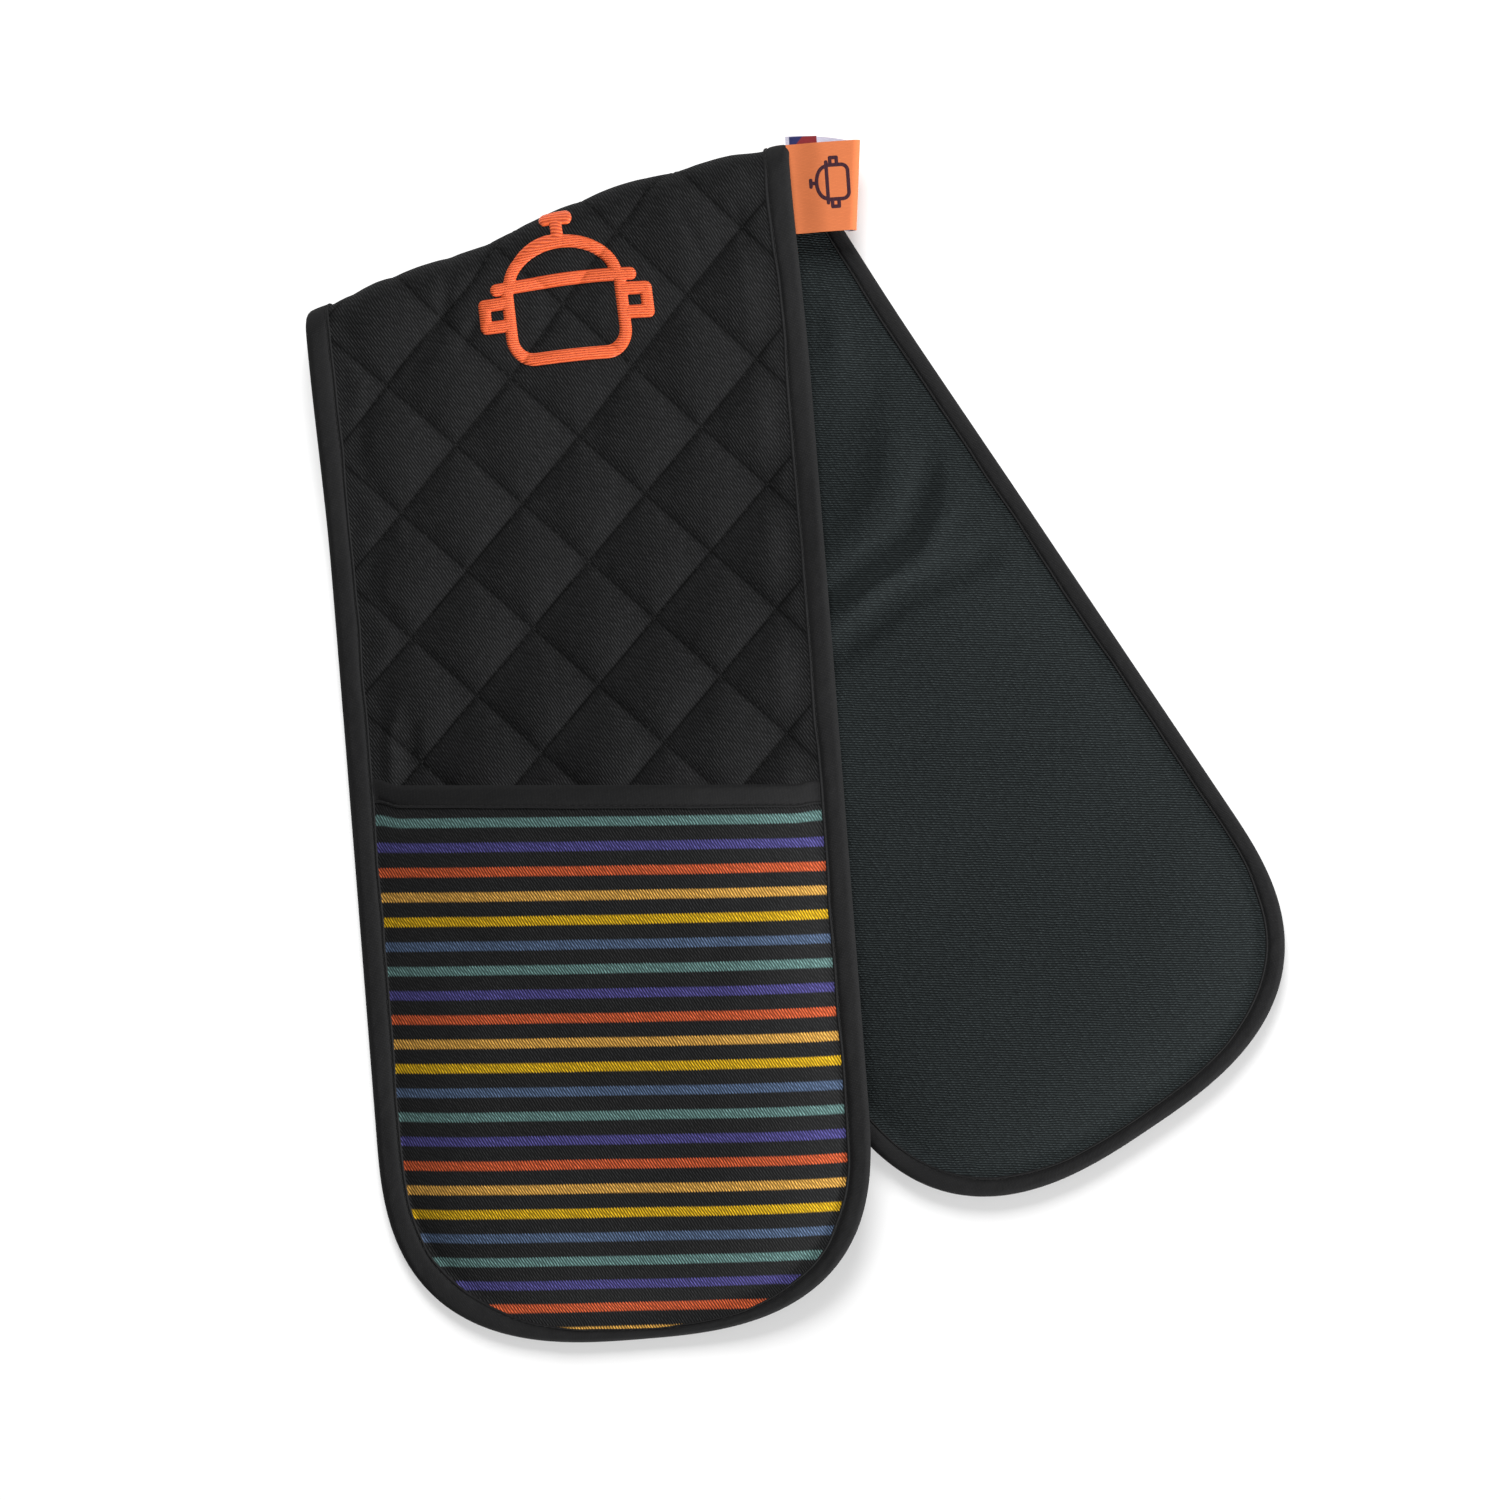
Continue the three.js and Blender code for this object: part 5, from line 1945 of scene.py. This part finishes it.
@dataclass
class EmblemPiece:
    """The embroidered pot on the front leg."""

    lay: Lay
    relief: Relief
    bends: Bends
    wardrobe: Wardrobe
    sunk: float = 0.25 * MM
    roundness: float = 0.985

    def build(self) -> None:
        """Makes the raised satin stitch."""
        emblem = self.relief.emblem
        points, quads, rim, away = LinePatch(emblem.lines(), emblem.line, emblem.step).build()
        s, b = emblem.middle_s - points[:, 1], emblem.middle_b + points[:, 0]
        ground = self.relief.face(s, b)
        share = np.minimum(1.0, away / (emblem.line / 2))
        rise = emblem.thickness * np.sqrt(np.maximum(0.0, 1 - (share * self.roundness) ** 2.6))
        top = self.lay.place(s, b, ground + emblem.lift + rise)
        bottom = self.lay.place(s, b, ground - self.sunk)
        piece = patch_object("emblem_embroidery", top, bottom, quads, rim, points)
        self.wardrobe.dress(piece, "embroidery_thread", "embroidery_thread", "emblem")
        self.bends.over_fold(piece, self.relief.pattern.half_middle)


@dataclass
class HangingLoop:
    """A folded ribbon sewn into the right edge, with a care label inside it."""

    joints: list
    wardrobe: Wardrobe
    width: float = 33 * MM
    top_reach: float = 24.2 * MM
    bottom_reach: float = 20.6 * MM
    root: float = -3 * MM
    root_gap: float = 0.55 * MM
    bend: float = 2.5 * MM
    open_start: float = -1 * MM
    open_length: float = 12 * MM
    ribbon: float = 0.8 * MM
    shift: float = 3.2 * MM
    steps: int = 26
    bend_steps: int = 12
    across: int = 34
    label_size: tuple = (10.2 * MM, 10.5 * MM)
    label_place: tuple = (-1.6 * MM, -19.4 * MM)
    print_scale: float = 0.30
    print_place: tuple = (12.5 * MM, -1.5 * MM)
    print_line: float = 1.35 * MM
    print_cell: float = 0.22 * MM
    print_rise: float = 0.07 * MM
    print_sink: float = 0.08 * MM
    label_gap: float = 0.15 * MM
    label_thickness: float = 0.3 * MM
    label_points: int = 12
    ruffle: float = 0.18 * MM
    ruffle_size: float = 9 * MM
    noise: ClothNoise = ClothNoise(83)

    def world(self, out: np.ndarray, along: np.ndarray, up: np.ndarray) -> np.ndarray:
        """World points from the loop's own directions."""
        hinge = next(j for j in self.joints if j["name"] == "loop_swing")
        place, axis = hinge["pos_m"], hinge["axis"]
        x = place[0] - axis[1] * out + axis[0] * along
        y = place[1] + axis[0] * out + axis[1] * along
        return np.stack(np.broadcast_arrays(x, y, place[2] + up), axis=-1)

    def height(self, out: np.ndarray) -> np.ndarray:
        """How far the ribbon's layers stand off the loop's middle plane."""
        return mix(self.root_gap, self.bend, smooth((out - self.open_start) / self.open_length))

    def path(self, along: np.ndarray) -> tuple[np.ndarray, np.ndarray, np.ndarray]:
        """The ribbon's middle line, one column for each place along the loop.

        Returns:
            Distance out, height and the sideways shift of each point.
        """
        reach = mix(self.top_reach, self.bottom_reach, along / self.width + 0.5)[None]
        centre = reach - self.bend
        share = np.linspace(0, 1, self.steps)[:, None]
        straight = self.root + share * (centre - self.root)
        rise = self.height(straight) + (self.bend - self.height(centre)) * share**4
        turn = np.linspace(-math.pi / 2, math.pi / 2, self.bend_steps + 2)[1:-1, None]
        out = np.concatenate([straight, centre + self.bend * np.cos(turn), straight[::-1]])
        round_end = np.broadcast_to(self.bend * np.sin(turn), (len(turn), len(along)))
        up = np.concatenate([-rise, round_end, rise[::-1]])
        lower = (1 - np.clip(straight / centre, 0, 1) ** 2) * self.shift
        none = np.zeros((len(turn) + self.steps, len(along)))
        return out, up, np.concatenate([-lower, none])

    def build(self) -> None:
        """Makes the ribbon, the label and the print."""
        along = np.linspace(-self.width / 2, self.width / 2, self.across + 1)
        out, up, aside = self.path(along)
        place = along[None] + aside
        up = up + self.ruffle * self.noise.sample(out, place, self.ruffle_size)
        run_out, run_up = np.gradient(out, axis=0), np.gradient(up, axis=0)
        length = np.hypot(run_out, run_up)
        across_out, across_up = run_up / length * self.ribbon / 2, -run_out / length * self.ribbon / 2
        outer = self.world(out + across_out, place, up + across_up)
        inner = self.world(out - across_out, place, up - across_up)
        walked = np.concatenate([np.zeros((1, len(along))), np.cumsum(length[1:], axis=0)])
        chart = np.stack(np.broadcast_arrays(along[None], walked), axis=-1)
        piece = Cloth(outer, inner, chart).piece("ribbon_loop")
        self.wardrobe.dress(piece, "loop_ribbon", "loop_ribbon", "hanging_loop")
        piece.data.materials.append(self.wardrobe.made["loop_ribbon_inside"])
        count = (outer.shape[0] - 1) * (outer.shape[1] - 1)
        marks = np.zeros(len(piece.data.polygons), dtype=np.int32)
        marks[count : 2 * count] = 1
        piece.data.polygons.foreach_set("material_index", marks)
        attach(piece, "loop")
        declare(chart)
        self.label()
        self.print_mark()

    def label(self) -> None:
        """Makes the care label, on the lower layer inside the loop."""
        u = np.linspace(0, self.label_size[0], self.label_points)[:, None]
        v = np.linspace(0, self.label_size[1], self.label_points)[None]
        out, along = self.label_place[0] + u, self.label_place[1] + v
        low = self.ribbon / 2 + self.label_gap - self.height(out)
        outer = self.world(out + 0 * v, along + 0 * u, low + self.label_thickness + 0 * v)
        inner = self.world(out + 0 * v, along + 0 * u, low + 0 * v)
        chart = np.stack(np.broadcast_arrays(u, v), axis=-1)
        piece = Cloth(outer, inner, chart).piece("label_tab")
        self.wardrobe.dress(piece, "label_tape", "label_tape", "care_label")
        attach(piece, "loop")
        declare(chart)

    def print_mark(self) -> None:
        """Prints a small pot on the upper layer, with its lid towards the seam."""
        scale = self.print_scale
        lines = [[(x * scale, y * scale) for x, y in line] for line in Emblem().lines()]
        points, quads, rim, _ = LinePatch(lines, self.print_line, self.print_cell).build()
        out, along = self.print_place[0] - points[:, 1], self.print_place[1] - points[:, 0]
        reach = mix(self.top_reach, self.bottom_reach, along / self.width + 0.5)
        centre = reach - self.bend
        share = (out - self.root) / (centre - self.root)
        high = self.height(out) + (self.bend - self.height(centre)) * share**4 + self.ribbon / 2
        high = high + self.ruffle * self.noise.sample(out, along, self.ruffle_size)
        top = self.world(out, along, high + self.print_rise)
        bottom = self.world(out, along, high - self.print_sink)
        piece = patch_object("ribbon_print", top, bottom, quads, rim, points)
        self.wardrobe.dress(piece, "loop_print", "loop_ribbon")
        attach(piece, "loop")


@dataclass(frozen=True)
class Lamp:
    """A soft rectangular studio light, aimed at the middle of the table."""

    name: str
    heading: float
    elevation: float
    distance: float
    size: float
    power: float
    shadow: bool = True

    def build(self) -> None:
        """Adds the light."""
        data = bpy.data.lights.new(self.name, "AREA")
        data.shape = "SQUARE"
        data.size = self.size
        data.energy = self.power
        data.use_shadow = self.shadow
        made = bpy.data.objects.new(self.name, data)
        bpy.context.scene.collection.objects.link(made)
        heading, elevation = math.radians(self.heading), math.radians(self.elevation)
        flat = math.cos(elevation)
        away = Vector((flat * math.cos(heading), flat * math.sin(heading), math.sin(elevation)))
        made.location = away * self.distance
        made.rotation_euler = away.to_track_quat("Z", "Y").to_euler()


@dataclass
class Studio:
    """White table, soft lights and a camera straight above."""

    camera_place: tuple = (-0.0168, -0.0030, 2.0)
    frame_width: float = 0.5577
    floor_size: float = 6.0
    floor_colour: tuple = rgb(0.85, 0.85, 0.85)
    fill: float = 0.24
    lamps: tuple = (
        Lamp("key_light", 97, 43, 2.2, 1.0, 44.0),
        Lamp("grazing_light", -33, 17, 4.0, 0.9, 300.0, False),
    )

    def build(self) -> None:
        """Sets up the stage."""
        scene = bpy.context.scene
        scene.view_settings.view_transform = "Standard"
        self.floor()
        world = bpy.data.worlds.new("studio")
        world.use_nodes = True
        back = next(n for n in world.node_tree.nodes if n.type == "BACKGROUND")
        back.inputs[0].default_value = rgb(1.0, 1.0, 1.0)
        back.inputs[1].default_value = self.fill
        scene.world = world
        for lamp in self.lamps:
            lamp.build()
        data = bpy.data.cameras.new("camera")
        data.sensor_width = 36.0
        data.lens = data.sensor_width * self.camera_place[2] / self.frame_width
        made = bpy.data.objects.new("camera", data)
        made.location = self.camera_place
        scene.collection.objects.link(made)
        scene.camera = made

    def floor(self) -> None:
        """Adds the pale table."""
        half = self.floor_size / 2
        points = [(-half, -half, 0), (half, -half, 0), (half, half, 0), (-half, half, 0)]
        mesh = bpy.data.meshes.new("floor")
        mesh.from_pydata(points, [], [(0, 1, 2, 3)])
        made = bpy.data.objects.new("floor", mesh)
        bpy.context.scene.collection.objects.link(made)
        material = bpy.data.materials.new("table_top")
        material.use_nodes = True
        shader = next(n for n in material.node_tree.nodes if n.type == "BSDF_PRINCIPLED")
        shader.inputs["Base Color"].default_value = self.floor_colour
        shader.inputs["Roughness"].default_value = 1.0
        shader.inputs["Specular IOR Level"].default_value = 0.0
        mesh.materials.append(material)


def corners(bounds: tuple) -> list:
    """The lowest and highest corner as plain lists."""
    return [list(bounds[0]), list(bounds[1])]


def main() -> None:
    """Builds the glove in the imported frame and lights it."""
    logging.basicConfig(level=logging.INFO, format="%(name)s: %(message)s")
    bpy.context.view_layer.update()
    pattern = Pattern()
    lay = Lay.from_frame(pattern, frame["joints"])
    lattices = Lattices(pattern, lay)
    relief = Relief(pattern, Quilting(), Emblem())
    bends = Bends(lay)
    wardrobe = Wardrobe()
    wardrobe.build()
    Studio().build()
    StripLayers(lay, lattices, relief, bends, wardrobe).build()
    EdgeBinding(lay, lattices, bends, wardrobe).build()
    QuiltStitches(lay, relief, bends, wardrobe).build()
    for side in Side:
        Pocket(side, lay, lattices, relief, bends, wardrobe).build()
    EmblemPiece(lay, relief, bends, wardrobe).build()
    HangingLoop(frame["joints"], wardrobe).build()


if __name__ == "__main__":
    main()
